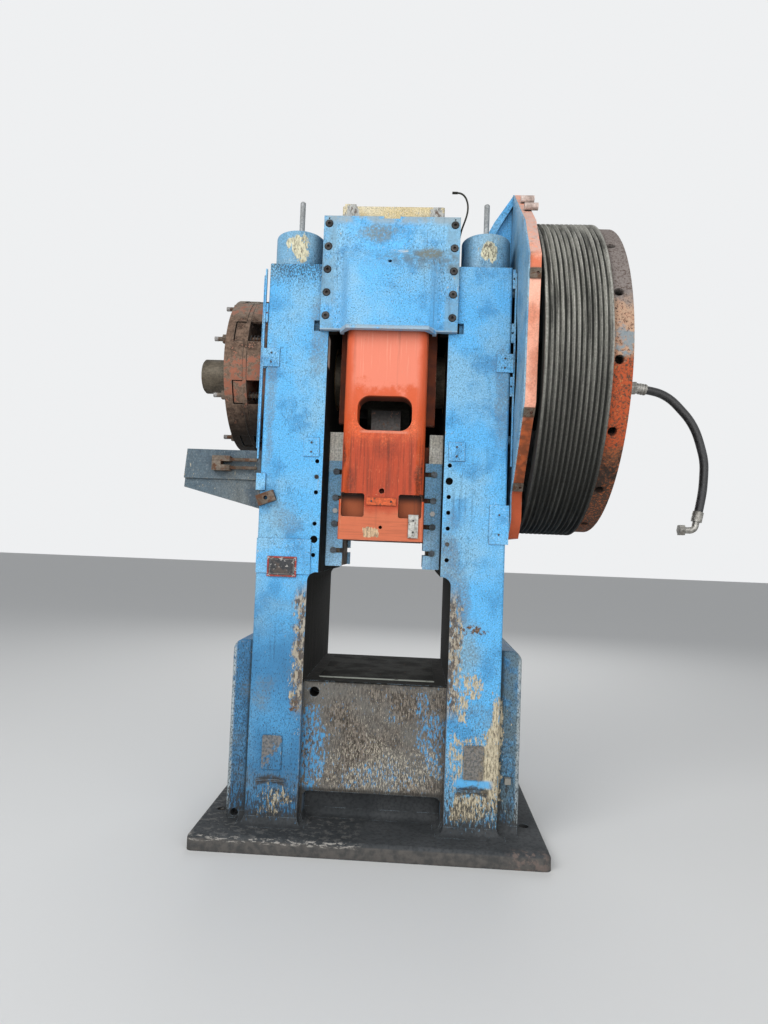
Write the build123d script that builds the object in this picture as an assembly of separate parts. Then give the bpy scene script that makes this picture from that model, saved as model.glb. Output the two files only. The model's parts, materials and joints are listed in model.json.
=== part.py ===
# Eccentric forging press: one-piece cast frame, guided ram, eccentric shaft,
# disc brake on the left, grooved flywheel with its clutch on the right.
# Millimetres. X runs to the right, Y away from the front, +Z up.
# The origin is the middle of the base's underside, with Y = 0 under the shaft.
from build123d import *
from math import cos, radians, sin, tan
import os

# Running and seating clearances
running_gap = 0.05
slide_gap = 0.3
screw_gap = 0.2

# Frame casting
frame_width = 1276
frame_depth = 1000
frame_height = 2974
frame_edge_round = 14
crown_width = 690
crown_height = 3215
slot_width = 628
die_space_width = 738
die_space_top = 1356
die_space_round = 45
bed_height = 796
bed_setback = 58
flange_width = 1756
flange_depth = 1334
flange_thickness = 76
flange_corner_round = 30
flange_top_round = 22
wing_reach = 112
wing_depth = 880
wing_height = 990
wing_round = 55
wing_edge_round = 18
toe_recess_width = 712
toe_recess_depth = 111
toe_recess_height = 159
toe_recess_round = 34
anchor_hole_radius = 27
anchor_inset = 83
anchor_spacing_y = 664

# Crown chamber, open to the front behind the cover
chamber_top = 2905
chamber_rear = 410
rear_window_top = 2140
front_wall = 60
crown_opening_width = 540
pry_slot_width = 34
pry_slot_height = 56
pry_slot_depth = 30

# Pads, ledges and holes on the frame's faces
pad_width = 100
pad_height = 168
pad_rise = 8
pad_middle = 437
pad_inset = 128
ledge_width = 150
ledge_height = 12
ledge_rise = 14
ledge_level = 300
face_hole_inset = 29
face_hole_radius = 11
face_hole_depth = 60
face_hole_bottom = 1444
face_hole_pitch = 81
face_hole_count = 7
face_hole_wide_radius = 19
face_hole_absent = (-1, 3)
face_holes_wide = ((-1, 1), (1, 5))
face_holes_screwed = ((-1, 5), (1, 1))
bed_hole_radius = 26
bed_hole_inset = 55
bed_hole_level = 738
bed_hole_depth = 120
wing_hole_radius = 20
wing_hole_x = -704
wing_hole_level = 104
wing_hole_depth = 60

# Tie rods
tie_rod_radius = 75
tie_rod_bore_gap = 5
tie_nut_side_gap = 2
tie_nut_crown_gap = 29
tie_nut_front_gap = 13
tie_nut_height = 191
tie_nut_round = 14
tie_nut_cap = 36
tommy_hole_radius = 9
tommy_hole_depth = 40
tommy_hole_level = 101
anchor_nut_radius = 110
anchor_nut_height = 150
nut_pocket_gap = 15
nut_pocket_height = 230
tie_rod_tail = 25
lifting_stud_radius = 14
lifting_stud_height = 216

# Front cover and its screws
cover_width = 714
cover_bottom = 2617
cover_top = 3223
cover_flange = 30
cover_skin = 20
bulge_reach = 100
bulge_width = 420
bulge_foot_width = 500
bulge_shoulder = 2950
bulge_fade = 3050
lip_height = 16
lip_reach = 12
cover_screw_inset = 28
cover_screw_lowest = 2691
cover_screw_pitch = 122.5
cover_screw_count = 5
cover_screw_radius = 12
cover_screw_head_radius = 18
cover_screw_head_height = 16
cover_screw_length = 70
counterbore_radius = 21
counterbore_depth = 12
socket_radius = 8
socket_depth = 10
cover_notch_width = 85
cover_notch_depth = 12
cover_vent_radius = 10
cover_vent_level = 2958
cover_pin_radius = 4
cover_pin_level = 3209

# Crown cap on top
cap_width = 548
cap_depth = 880
cap_height = 106
cap_round = 12
cap_lug_width = 72
cap_lug_height = 12
cap_port_width = 90
cap_port_height = 40
cap_port_depth = 60

# Rear hatch
hatch_width = 420
hatch_height = 380
hatch_thickness = 14
hatch_middle = 2600
hatch_opening_width = 340
hatch_opening_height = 300
hatch_screw_inset = 20

# Shaft line
shaft_level = 2482
throw = 90
journal_radius = 150
seat_radius = 130
clutch_seat_radius = 115
brake_end_radius = 101
eccentric_radius = 245
eccentric_width = 372
shaft_nose_length = 234
shaft_right_reach = 45
shaft_end_chamfer = 8
main_bush_wall = 30
key_width = 50
key_height = 28

# Pitman and wrist pin
pitman_ring_wall = 50
pitman_bush_wall = 15
pitman_width = 356
pitman_length = 722
pitman_shank_width = 240
pitman_shank_depth = 260
small_end_width = 320
small_end_wall = 48
pin_radius = 80
pin_play = 21
pin_keeper_radius = 72
pin_keeper_thickness = 10

# Ram
ram_bottom = 1531
ram_width = 424
ram_foot_width = 436
ram_foot_height = 204
ram_front = 545
ram_rear = 470
ram_body_top = 2060
ram_guide_width = 480
ram_guide_depth = 449
ram_arm_back = 415
ram_arm_top = 2880
ram_cheek_inner = 194
ram_flange_width = 522
ram_flange_front = 320
ram_flange_back = 270
ram_flange_bottom = 2165
ram_corner_round = 45
ram_foot_round = 14
ram_pocket_width = 340
ram_pocket_half_depth = 270
ram_pocket_floor = 1680
window_width = 280
window_height = 180
window_middle = 2183
window_round = 62
foot_pocket_width = 118
foot_pocket_height = 120
foot_pocket_depth = 55
foot_pocket_round = 12
foot_pocket_x = 146
foot_pocket_level = 1708
ram_hole_radius = 14
ram_lower_hole_radius = 9
ram_hole_depth = 70
ram_upper_hole_level = 1783
ram_lower_hole_level = 1598
bare_plate_width = 150
bare_plate_height = 38
bare_plate_level = 1729
steel_plate_width = 50
steel_plate_height = 118
steel_plate_inset = 52
steel_plate_level = 1608
ram_plate_thickness = 10
ram_block_width = 156
ram_block_depth = 110
ram_block_height = 165
ram_block_front = 400

# Gibs that guide the ram
gib_bottom = 1385
gib_split = 1968
gib_top = 2128
gib_plate_thickness = 20
gib_plate_overlap = 18
gib_slot_height = 26
gib_slot_length = 58
gib_slot_pitch = 145
gib_slot_lowest = 1472
gib_slot_count = 4
gib_screw_radius = 11
gib_screw_head = 17
gib_screw_height = 14
gib_bolt_level = 1690
gib_bolt_radius = 15
gib_bolt_height = 22

# Brake on the left
brake_radius = 440
brake_anchor_thickness = 22
brake_spring_bay = 96
brake_plate_thickness = 21
brake_travel = 3
brake_rest_gap = 0.5
brake_disc_radius = 372
brake_disc_thickness = 24
brake_shell_wall = 17
brake_end_thickness = 75
brake_step_gap = 3.5
brake_window_count = 8
brake_window_width = 132
brake_window_phase = 24.2
brake_window_reach = 56
brake_lug_reach = 50
brake_lug_gap = 6
brake_stud_circle = 397
brake_stud_radius = 12
brake_stud_phase = 28
brake_stud_reach = 72
brake_nut_radius = 22
brake_nut_height = 26
spring_radius = 24
spring_wire = 5
spring_turns = 5

# Flywheel on the right
wheel_gap = 23
groove_count = 12
groove_pitch = 24.7
groove_depth = 17
groove_floor = 9
wheel_radius = 874
rim_wall = 84
ring_radius = 852
ring_width = 95
ring_inner_radius = 742
barring_hole_count = 16
barring_hole_inset = 31
barring_hole_radius = 22
barring_hole_depth = 70
barring_hole_phase = 5.25
web_thickness = 60
web_offset = 120
web_hole_count = 6
web_hole_radius = 95
web_hole_circle = 560
hub_radius = 262
hub_width = 300
bearing_wall = 60
bearing_width = 70
bearing_inset = 20

# Clutch in the flywheel's outer side
clutch_radius = 430
clutch_wall = 26
clutch_depth = 190
clutch_cover_thickness = 20
clutch_hub_radius = 200
clutch_hub_width = 120
clutch_disc_radius = 392
clutch_disc_thickness = 22
clutch_plate_thickness = 26
clutch_plate_bore = 212
clutch_travel = 3
clutch_bore_gap = 14
clutch_screw_count = 12
clutch_screw_head = 15
clutch_screw_height = 14

# Guard between the frame and the flywheel
guard_gap = 24
guard_depth = 60
guard_skin = 8
guard_strip = 10
guard_bore_radius = 560
guard_front = 850
guard_front_low = 803
guard_side_bottom = 2207
guard_side_top = 2895
guard_shoulder_y = 660
guard_shoulder_z = 3150
guard_apex_y = 215
guard_apex_z = 3515
guard_knee_y = 450
guard_knee_top = 1800
guard_knee_bottom = 1665
guard_foot_y = 365
guard_foot_z = 1570
guard_tab_height = 48
guard_tab_thickness = 9
guard_tab_hole = 8
guard_tab_low = 1835
guard_tab_middle = 2165
guard_tab_high = 2804
guard_boss_radius = 19
guard_boss_bore = 11
guard_boss_length = 70
guard_boss_first = 194
guard_boss_pitch = 175
guard_boss_inset = 38
standoff_radius = 22
standoff_y = 440
standoff_lowest = 2080
standoff_pitch = 390
standoff_rows = 3
gusset_thickness = 12
gusset_inner_inset = 78
gusset_inner_z = 3350
gusset_foot_inset = 218
gusset_foot_top = 3070
gusset_flange = 50
gusset_flange_thickness = 29

# Small pieces on the uprights
small_plate_thickness = 6
corner_plate_level = 2469
corner_plate_width = 87
corner_plate_height = 97
slot_plate_inset = 62
slot_plate_level = 2002
slot_plate_width = 82
slot_plate_height = 96
latch_plate_inset = 36
latch_plate_level = 1634
latch_plate_width = 98
latch_plate_height = 200
step_block_inset = 6
step_block_level = 1814
step_block_width = 48
step_block_height = 88
strip_gap = 14
strip_thickness = 8
strip_depth = 16
strip_bottom = 1935
strip_top = 2945
strip_lug_height = 100
strip_lug_hole = 5
right_lug_low_level = 2350
right_lug_middle_level = 2630
right_lug_high_level = 2916
left_lug_low_level = 2465
left_lug_high_level = 2710
side_pipe_radius = 4
side_pipe_bottom = 1990
side_pipe_top = 2910
plate_screw_radius = 5
plate_screw_height = 4
name_panel_width = 282
name_panel_height = 180
name_panel_level = 1433
name_frame_width = 152
name_frame_height = 104
name_frame_shift = 5
name_frame_level = 1379
lug_width = 94
lug_height = 56
lug_reach = 30
lug_inset = 39
lug_level = 1730
lug_lean = 21
wing_bolt_radius = 15
wing_bolt_height = 30
wing_bolt_inset = 61
wing_bolt_level = 342
bracket_front = 470
bracket_back = 250
bracket_length = 402
bracket_lean = 12
bracket_bottom = 1825
bracket_top = 1979
bracket_tip = 1778
bracket_foot = 1673
bracket_wall = 14
valve_reach = 253
valve_width = 92
valve_height = 76
valve_depth = 50
valve_level = 1904
valve_rod_length = 140
valve_rod_radius = 9
valve_rod_rise = 21
lube_pipe_radius = 5
lube_pipe_y = -300
lube_pipe_foot_x = 359
lube_pipe_lean_x = 376
lube_pipe_bow_x = 403
lube_pipe_lean_level = 3274
lube_pipe_bow_level = 3409
lube_tip_x = 345
lube_tip_level = 3477
lube_tip_radius = 7
lube_tip_length = 30

# Bed liner sheet
liner_width = 612
liner_depth = 700
liner_thickness = 6

# Air feed at the shaft's right end
rotor_radius = 26
rotor_length = 60
rotor_flange_radius = 70
rotor_flange_thickness = 14
union_radius = 56
union_length = 72
union_gap = 2
union_nose_radius = 38
union_nose_length = 20
coupling_nut_across = 66
coupling_nut_length = 24
ferrule_radius = 30
ferrule_length = 60
ferrule_band_height = 2.5
coupling_droop = 9
hose_radius = 24
hose_first_run = 55
end_ferrule_length = 58
elbow_radius = 19
elbow_drop = 52
elbow_bend = 34
elbow_reach = 58
end_nut_across = 58
end_nut_length = 30

# Places worked out from the sizes above
front = -frame_depth / 2
side = frame_width / 2
slot_side = slot_width / 2
pad_centre_x = side - pad_inset
face_hole_x = slot_side + face_hole_inset
bed_hole_x = -die_space_width / 2 + bed_hole_inset
anchor_spacing_x = flange_width - 2 * anchor_inset
wing_width = frame_width + 2 * wing_reach
tie_nut_radius = (side - crown_width / 2 - tie_nut_side_gap - tie_nut_crown_gap) / 2
tie_rod_x = side - tie_nut_side_gap - tie_nut_radius
tie_rod_y = -front - tie_nut_front_gap - tie_nut_radius
gusset_y = tie_rod_y - tie_nut_radius - gusset_flange / 2
cover_screw_x = cover_width / 2 - cover_screw_inset
steel_plate_x = ram_foot_width / 2 - steel_plate_inset
eccentric_level = shaft_level + throw
pin_level = eccentric_level - pitman_length
bush_radius = journal_radius + main_bush_wall
pitman_bore = eccentric_radius + pitman_bush_wall
pitman_radius = pitman_bore + pitman_ring_wall
gib_face = ram_guide_width / 2 + slide_gap
gib_front = -(ram_guide_depth / 2 + slide_gap)
guard_left = side + guard_gap
guard_right = guard_left + guard_depth
guard_boss_left = guard_right - guard_boss_inset
gusset_inner_x = side - gusset_inner_inset
gusset_foot_x = side - gusset_foot_inset
guard_tab_levels = (guard_tab_low, guard_tab_middle, guard_tab_high)
right_lug_levels = (right_lug_low_level, right_lug_middle_level, right_lug_high_level)
left_lug_levels = (left_lug_low_level, left_lug_high_level)
wheel_left = guard_right + wheel_gap
wheel_right = wheel_left + 2 * groove_floor + groove_count * groove_pitch
hub_right = wheel_left + hub_width
drum_right = hub_right + clutch_depth
shaft_right_end = drum_right + clutch_cover_thickness + shaft_right_reach
web_left = wheel_left + web_offset
web_right = web_left + web_thickness
anchor_face = -side - brake_anchor_thickness
plate_right = anchor_face - brake_spring_bay - brake_travel - brake_rest_gap
plate_left = plate_right - brake_plate_thickness
disc_left = plate_left - running_gap - brake_disc_thickness
brake_left = disc_left - running_gap - brake_end_thickness
shaft_left_end = brake_left - shaft_nose_length
name_panel_x = -side + name_panel_width / 2
name_frame_x = name_panel_x - name_frame_shift
lug_x = -side + lug_inset
wing_bolt_x = wing_width / 2 - wing_bolt_inset
bracket_reach = side + bracket_length
brake_lug_inner = brake_disc_radius + brake_lug_gap
valve_left = -side - valve_reach
union_left = shaft_right_end + rotor_flange_thickness + union_gap
union_right = union_left + union_length
coupling_bend_x = union_right + union_nose_length + coupling_nut_length
droop_x = cos(radians(coupling_droop))
droop_z = sin(radians(coupling_droop))
hose_start_x = coupling_bend_x + ferrule_length * droop_x
hose_start_z = shaft_level - ferrule_length * droop_z

# Hose route in the shaft's plane, from the coupling to the hanging end
hose_route = [
    (hose_start_x, 0, hose_start_z),
    (hose_start_x + hose_first_run * droop_x, 0, hose_start_z - hose_first_run * droop_z),
    (hose_start_x + 105.7, 0, hose_start_z - 28.5),
    (hose_start_x + 153.2, 0, hose_start_z - 59.8),
    (hose_start_x + 199.5, 0, hose_start_z - 107.8),
    (hose_start_x + 249.3, 0, hose_start_z - 163.9),
    (hose_start_x + 290, 0, hose_start_z - 235.5),
    (hose_start_x + 317, 0, hose_start_z - 319.7),
    (hose_start_x + 339.5, 0, hose_start_z - 410.1),
    (hose_start_x + 337.5, 0, hose_start_z - 506.7),
    (hose_start_x + 330.3, 0, hose_start_z - 605.5),
    (hose_start_x + 310.1, 0, hose_start_z - 702.5),
]

nodes = {}


def block(x0, x1, y0, y1, z0, z1):
    """Return a box between two corners."""
    box = Box(x1 - x0, y1 - y0, z1 - z0)
    return Pos((x0 + x1) / 2, (y0 + y1) / 2, (z0 + z1) / 2) * box


def wide_block(width, y0, y1, z0, z1):
    """Return a box centred on the press's middle plane."""
    return block(-width / 2, width / 2, y0, y1, z0, z1)


def rod_x(radius, x0, x1, y=0, z=0):
    """Return a round bar along X."""
    bar = Rot(0, 90, 0) * Cylinder(radius, abs(x1 - x0))
    return Pos((x0 + x1) / 2, y, z) * bar


def rod_y(radius, x, y0, y1, z):
    """Return a round bar along Y."""
    bar = Rot(90, 0, 0) * Cylinder(radius, abs(y1 - y0))
    return Pos(x, (y0 + y1) / 2, z) * bar


def rod_z(radius, x, y, z0, z1):
    """Return a round bar along Z."""
    return Pos(x, y, (z0 + z1) / 2) * Cylinder(radius, abs(z1 - z0))


def ring_x(outer, inner, x0, x1, z=shaft_level):
    """Return a flat ring or a tube round an axis along X."""
    overrun = 1
    return rod_x(outer, x0, x1, 0, z) - rod_x(inner, x0 - overrun, x1 + overrun, 0, z)


def slab_front(sketch, y0, y1):
    """Return a sketch drawn in X and Z, made solid from y0 to y1."""
    plane = Plane(origin=(0, y1, 0), x_dir=(1, 0, 0), z_dir=(0, -1, 0))
    return extrude(plane * sketch, amount=y1 - y0)


def slab_side(sketch, x0, x1):
    """Return a sketch drawn in Y and Z, made solid from x0 to x1."""
    plane = Plane(origin=(x0, 0, 0), x_dir=(0, 1, 0), z_dir=(1, 0, 0))
    return extrude(plane * sketch, amount=x1 - x0)


def slab_top(sketch, z0, z1):
    """Return a sketch drawn in X and Y, made solid from z0 to z1."""
    return extrude(Plane.XY.offset(z0) * sketch, amount=z1 - z0)


def outline(*points):
    """Return a flat face with straight edges through the points."""
    return make_face(Polyline(*points, close=True))


def hexagon_x(across, x0, x1, y, z):
    """Return a hexagon bar along X."""
    sketch = Pos(y, z) * RegularPolygon(across / 2, 6, major_radius=False)
    return slab_side(sketch, x0, x1)


def around(radius, count, phase=0):
    """Return evenly spaced places round the shaft, as angle, Y and Z."""
    places = []
    for number in range(count):
        angle = radians(phase + 360 * number / count)
        places.append((angle, radius * cos(angle), shaft_level + radius * sin(angle)))
    return places


def four_corners(x, y):
    """Return the four places that mirror x and y."""
    return [(sx * x, sy * y) for sx in (-1, 1) for sy in (-1, 1)]


def group(solids):
    """Return separate solids as one node."""
    return Compound(children=[piece for item in solids for piece in item.solids()])


def mirror_x(shape):
    """Return the shape mirrored to the other side of the press."""
    return mirror(shape, about=Plane.YZ)


def mirror_y(shape):
    """Return the shape mirrored from front to back."""
    return mirror(shape, about=Plane.XZ)


def both_sides(shape):
    """Return the shape and its mirror image across the middle plane."""
    return [shape, mirror_x(shape)]


def upright_body():
    """Return the uprights, crown, wings and base flange before any cut."""
    uprights = wide_block(frame_width, front, -front, 0, frame_height)
    uprights = fillet(uprights.edges().filter_by(Axis.Z), frame_edge_round)
    crown = wide_block(crown_width, front, -front, frame_height - 1, crown_height)
    wing = wide_block(wing_width, -wing_depth / 2, wing_depth / 2, 0, wing_height)
    wing = fillet(wing.edges().filter_by(Axis.Y).group_by(Axis.Z)[-1], wing_round)
    wing = fillet(wing.edges().filter_by(Axis.Z), wing_edge_round)
    flange = wide_block(flange_width, -flange_depth / 2, flange_depth / 2, 0, flange_thickness)
    flange = fillet(flange.edges().filter_by(Axis.Z), flange_corner_round)
    flange = fillet(flange.faces().sort_by(Axis.Z)[-1].edges(), flange_top_round)
    return uprights + crown + wing + flange


def die_space_cut():
    """Return the cuts for the die space, the bed's set-back and the toe recess."""
    height = die_space_top - bed_height
    reach = flange_depth / 2
    arch = Pos(0, bed_height + height / 2) * RectangleRounded(die_space_width, height, die_space_round)
    sill = Pos(0, bed_height + height / 4) * Rectangle(die_space_width, height / 2)
    cut = slab_front(arch + sill, -reach, reach)
    bed_face = -front - bed_setback
    recess_height = toe_recess_height
    toe = Pos(0, flange_thickness + recess_height / 2) * RectangleRounded(
        toe_recess_width, recess_height, toe_recess_round
    )
    toe_floor = Pos(0, flange_thickness + recess_height / 4) * Rectangle(
        toe_recess_width, recess_height / 2
    )
    for turn in (-1, 1):
        near, far = sorted((turn * bed_face, turn * -front))
        cut += wide_block(die_space_width, near, far, flange_thickness, bed_height + 1)
        near, far = sorted((turn * (bed_face - toe_recess_depth), turn * -front))
        cut += slab_front(toe + toe_floor, near, far)
    return cut


def crown_cut():
    """Return the cuts for the ram's slot and the chamber in the crown."""
    wall = front + front_wall
    cut = wide_block(slot_width, front, -front, die_space_top - 1, rear_window_top)
    cut += wide_block(slot_width, wall, chamber_rear, die_space_top - 1, chamber_top)
    cut += wide_block(slot_width, front, wall, rear_window_top - 1, cover_bottom)
    cut += wide_block(crown_opening_width, front, wall, cover_bottom - 1, chamber_top)
    hatch = Pos(0, hatch_middle) * RectangleRounded(
        hatch_opening_width, hatch_opening_height, die_space_round
    )
    cut += slab_front(hatch, chamber_rear - 1, -front)
    return cut + rod_x(bush_radius, -side, side, 0, shaft_level)


def face_hole_places():
    """Return the side, number and radius of each hole beside the ram's slot."""
    places = []
    for turn in (-1, 1):
        for number in range(face_hole_count):
            wide = (turn, number) in face_holes_wide
            if (turn, number) != face_hole_absent:
                places.append((turn, number, face_hole_wide_radius if wide else face_hole_radius))
    return places


def frame_holes():
    """Return every round hole in the casting."""
    cut = []
    for x, y in four_corners(tie_rod_x, tie_rod_y):
        cut.append(rod_z(tie_rod_radius + tie_rod_bore_gap, x, y, 0, frame_height))
        cut.append(rod_z(anchor_nut_radius + nut_pocket_gap, x, y, 0, nut_pocket_height))
    for x, y in four_corners(anchor_spacing_x / 2, anchor_spacing_y / 2):
        cut.append(rod_z(anchor_hole_radius, x, y, 0, flange_thickness))
    for turn, number, radius in face_hole_places():
        level = face_hole_bottom + number * face_hole_pitch
        cut.append(rod_y(radius, turn * face_hole_x, front, front + face_hole_depth, level))
    bed_face = front + bed_setback
    cut.append(rod_y(bed_hole_radius, bed_hole_x, bed_face, bed_face + bed_hole_depth, bed_hole_level))
    wing_face = -wing_depth / 2
    cut.append(rod_y(wing_hole_radius, wing_hole_x, wing_face, wing_face + wing_hole_depth, wing_hole_level))
    for x, z in cover_screw_places():
        cut.append(rod_y(cover_screw_radius + screw_gap, x, front, front + cover_screw_length, z))
    for turn in (-1, 1):
        near, far = sorted((turn * cover_width / 2, turn * (cover_width / 2 + pry_slot_width)))
        top = cover_bottom + pry_slot_height
        cut.append(block(near, far, front, front + pry_slot_depth, cover_bottom, top))
    return cut


def frame_casting():
    """Return the one-piece cast frame."""
    body = upright_body() - die_space_cut() - crown_cut()
    for turn in (-1, 1):
        for end in (-1, 1):
            x = end * pad_centre_x
            face = turn * -front
            near, far = sorted((face - turn, face + turn * pad_rise))
            pad = Pos(x, pad_middle) * RectangleRounded(pad_width, pad_height, pad_rise)
            body += slab_front(pad, near, far)
            near, far = sorted((face - turn, face + turn * ledge_rise))
            ledge = Pos(x, ledge_level) * RectangleRounded(ledge_width, ledge_height, ledge_height / 3)
            body += slab_front(ledge, near, far)
    return body - frame_holes()


def tie_rod_pieces():
    """Return the four tie rods with their nuts and lifting studs."""
    rods, nuts, anchors, studs = [], [], [], []
    nut_top = frame_height + tie_nut_height
    nut = rod_z(tie_nut_radius, 0, 0, frame_height, nut_top)
    nut = fillet(nut.faces().sort_by(Axis.Z)[-1].edges(), tie_nut_round)
    nut -= rod_z(tie_rod_radius, 0, 0, frame_height, nut_top - tie_nut_cap)
    for number in range(4):
        angle = radians(22 + 90 * number)
        reach = tie_nut_radius - tommy_hole_depth / 2
        hole = Rot(0, 90, 22 + 90 * number) * Cylinder(tommy_hole_radius, tommy_hole_depth + 2)
        nut -= Pos(reach * cos(angle), reach * sin(angle), frame_height + tommy_hole_level) * hole
    rod_bottom = tie_rod_tail
    anchor_top = nut_pocket_height
    anchor = rod_z(anchor_nut_radius, 0, 0, anchor_top - anchor_nut_height, anchor_top)
    anchor -= rod_z(tie_rod_radius, 0, 0, 0, anchor_top)
    stud = rod_z(lifting_stud_radius, 0, 0, nut_top, nut_top + lifting_stud_height)
    stud = chamfer(stud.faces().sort_by(Axis.Z)[-1].edges(), lifting_stud_radius / 4)
    for x, y in four_corners(tie_rod_x, tie_rod_y):
        rods.append(rod_z(tie_rod_radius, x, y, rod_bottom, nut_top - tie_nut_cap))
        nuts.append(Pos(x, y, 0) * nut)
        anchors.append(Pos(x, y, 0) * anchor)
        studs.append(Pos(x, y, 0) * stud)
    nodes["tie_rods"] = group(rods)
    nodes["tie_rod_nuts"] = group(nuts)
    nodes["anchor_nuts"] = group(anchors)
    nodes["lifting_studs"] = group(studs)


def cover_screw_places():
    """Return X and Z of each screw of the front cover."""
    places = []
    for x in (-cover_screw_x, cover_screw_x):
        for number in range(cover_screw_count):
            places.append((x, cover_screw_lowest + number * cover_screw_pitch))
    return places


def bulge(foot, crest, face, low, shoulder, fade):
    """Return the wedge-sided bulge of the cover, from its foot to its face."""
    foot_y = front - cover_flange
    section = outline(
        (-foot / 2, front), (-foot / 2, foot_y), (-crest / 2, face),
        (crest / 2, face), (foot / 2, foot_y), (foot / 2, front),
    )
    body = slab_top(section, low, fade)
    side_view = outline((front, low), (face, low), (face, shoulder), (foot_y, fade), (front, fade))
    return body & slab_side(side_view, -foot / 2, foot / 2)


def front_cover_pieces():
    """Return the bolted front cover and its screws."""
    face = front - bulge_reach
    flange_face = front - cover_flange
    cover = wide_block(cover_width, flange_face, front, cover_bottom, cover_top)
    cover += bulge(bulge_foot_width, bulge_width, face, cover_bottom, bulge_shoulder, bulge_fade)
    lip = bulge(
        bulge_foot_width, bulge_width, face - lip_reach,
        cover_bottom - lip_height, bulge_shoulder, bulge_fade,
    )
    lip_bottom = cover_bottom - lip_height
    cover += lip & wide_block(cover_width, face - lip_reach, front, lip_bottom, cover_bottom)
    inner = 2 * cover_skin
    cover -= bulge(
        bulge_foot_width - inner, bulge_width - inner, face + cover_skin,
        cover_bottom - lip_height, bulge_shoulder - cover_skin, bulge_fade - cover_skin,
    )
    notch = wide_block(cover_notch_width, flange_face, front, cover_top - cover_notch_depth, cover_top)
    cover -= notch
    cover -= rod_y(cover_vent_radius, 0, face, front, cover_vent_level)
    for x in (-cover_screw_x, cover_screw_x):
        cover -= rod_y(cover_pin_radius, x, flange_face, front, cover_pin_level)
    screws = []
    seat = flange_face + counterbore_depth
    head = seat - cover_screw_head_height
    for x, z in cover_screw_places():
        cover -= rod_y(cover_screw_radius + screw_gap, x, flange_face, front, z)
        cover -= rod_y(counterbore_radius, x, flange_face, seat, z)
        screw = rod_y(cover_screw_head_radius, x, head, seat, z)
        screw += rod_y(cover_screw_radius, x, seat, front + cover_screw_length, z)
        screw -= rod_y(socket_radius, x, head, head + socket_depth, z)
        screws.append(screw)
    nodes["front_cover"] = cover
    nodes["cover_screws"] = group(screws)


def crown_cap_pieces():
    """Return the cap on the crown and the hatch behind it."""
    top = crown_height + cap_height
    cap = wide_block(cap_width, -cap_depth / 2, cap_depth / 2, crown_height, top)
    cap = fillet(cap.edges().filter_by(Axis.Z), cap_round)
    lug = block(
        -cap_width / 2 + cap_round, -cap_width / 2 + cap_lug_width,
        -cap_depth / 2, cap_depth / 2, top - 1, top + cap_lug_height,
    )
    port = wide_block(
        cap_port_width, -cap_depth / 2, -cap_depth / 2 + cap_port_depth,
        crown_height, crown_height + cap_port_height,
    )
    nodes["crown_cap"] = cap + lug - port
    hatch = Pos(0, hatch_middle) * RectangleRounded(hatch_width, hatch_height, hatch_screw_inset)
    nodes["rear_hatch"] = slab_front(hatch, -front, -front + hatch_thickness)
    screws = []
    reach_x = hatch_width / 2 - hatch_screw_inset
    reach_z = hatch_height / 2 - hatch_screw_inset
    for x in (-reach_x, 0, reach_x):
        for z in (hatch_middle - reach_z, hatch_middle + reach_z):
            start = -front + hatch_thickness
            head = Pos(x, z) * RegularPolygon(gib_bolt_radius, 6)
            screws.append(slab_front(head, start, start + plate_screw_height * 2))
    nodes["hatch_screws"] = group(screws)


def shaft_pieces():
    """Make the shaft, its eccentric with the key, and the bushes."""
    shaft = rod_x(journal_radius, -side, side, 0, shaft_level)
    left = rod_x(seat_radius, brake_left + brake_end_thickness, -side, 0, shaft_level)
    nose = rod_x(brake_end_radius, shaft_left_end, brake_left + brake_end_thickness, 0, shaft_level)
    nose = chamfer(nose.faces().sort_by(Axis.X)[0].edges(), shaft_end_chamfer)
    shaft += left + nose
    shaft += rod_x(seat_radius, side, hub_right, 0, shaft_level)
    shaft += rod_x(clutch_seat_radius, hub_right, shaft_right_end, 0, shaft_level)
    shaft -= rod_x(rotor_radius, shaft_right_end - rotor_length, shaft_right_end, 0, shaft_level)
    half = eccentric_width / 2
    key_low = shaft_level + journal_radius - key_height / 2
    key = block(-half, half, -key_width / 2, key_width / 2, key_low, key_low + key_height)
    eccentric = rod_x(eccentric_radius, -half, half, 0, eccentric_level)
    eccentric -= rod_x(journal_radius, -half, half, 0, shaft_level)
    nodes["main_shaft"] = shaft - key
    nodes["eccentric"] = eccentric - key
    nodes["eccentric_key"] = key
    bush = ring_x(bush_radius, journal_radius + running_gap, slot_side, side)
    nodes["main_bushes"] = group(both_sides(bush))


def pitman_pieces():
    """Return the pitman with its bush, upright below the eccentric."""
    half = pitman_width / 2
    body = rod_x(pitman_radius, -half, half, 0, eccentric_level)
    small_half = small_end_width / 2
    slot_half = pin_radius + pin_play
    outer_half = slot_half + small_end_wall
    travel = throw
    foot = wide_block(
        small_end_width, -outer_half, outer_half + travel,
        pin_level - outer_half, pin_level + outer_half,
    )
    foot = fillet(foot.edges().filter_by(Axis.X), small_end_wall)
    shank = wide_block(
        pitman_shank_width, -pitman_shank_depth / 2, pitman_shank_depth / 2,
        pin_level, eccentric_level,
    )
    body += shank + foot
    body -= rod_x(pitman_bore, -half, half, 0, eccentric_level)
    body -= rod_x(slot_half, -small_half, small_half, 0, pin_level)
    body -= rod_x(slot_half, -small_half, small_half, travel, pin_level)
    body -= wide_block(small_end_width, 0, travel, pin_level - slot_half, pin_level + slot_half)
    nodes["pitman"] = body
    nodes["pitman_bush"] = ring_x(
        pitman_bore, eccentric_radius + running_gap, -half, half, eccentric_level
    )


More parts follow.
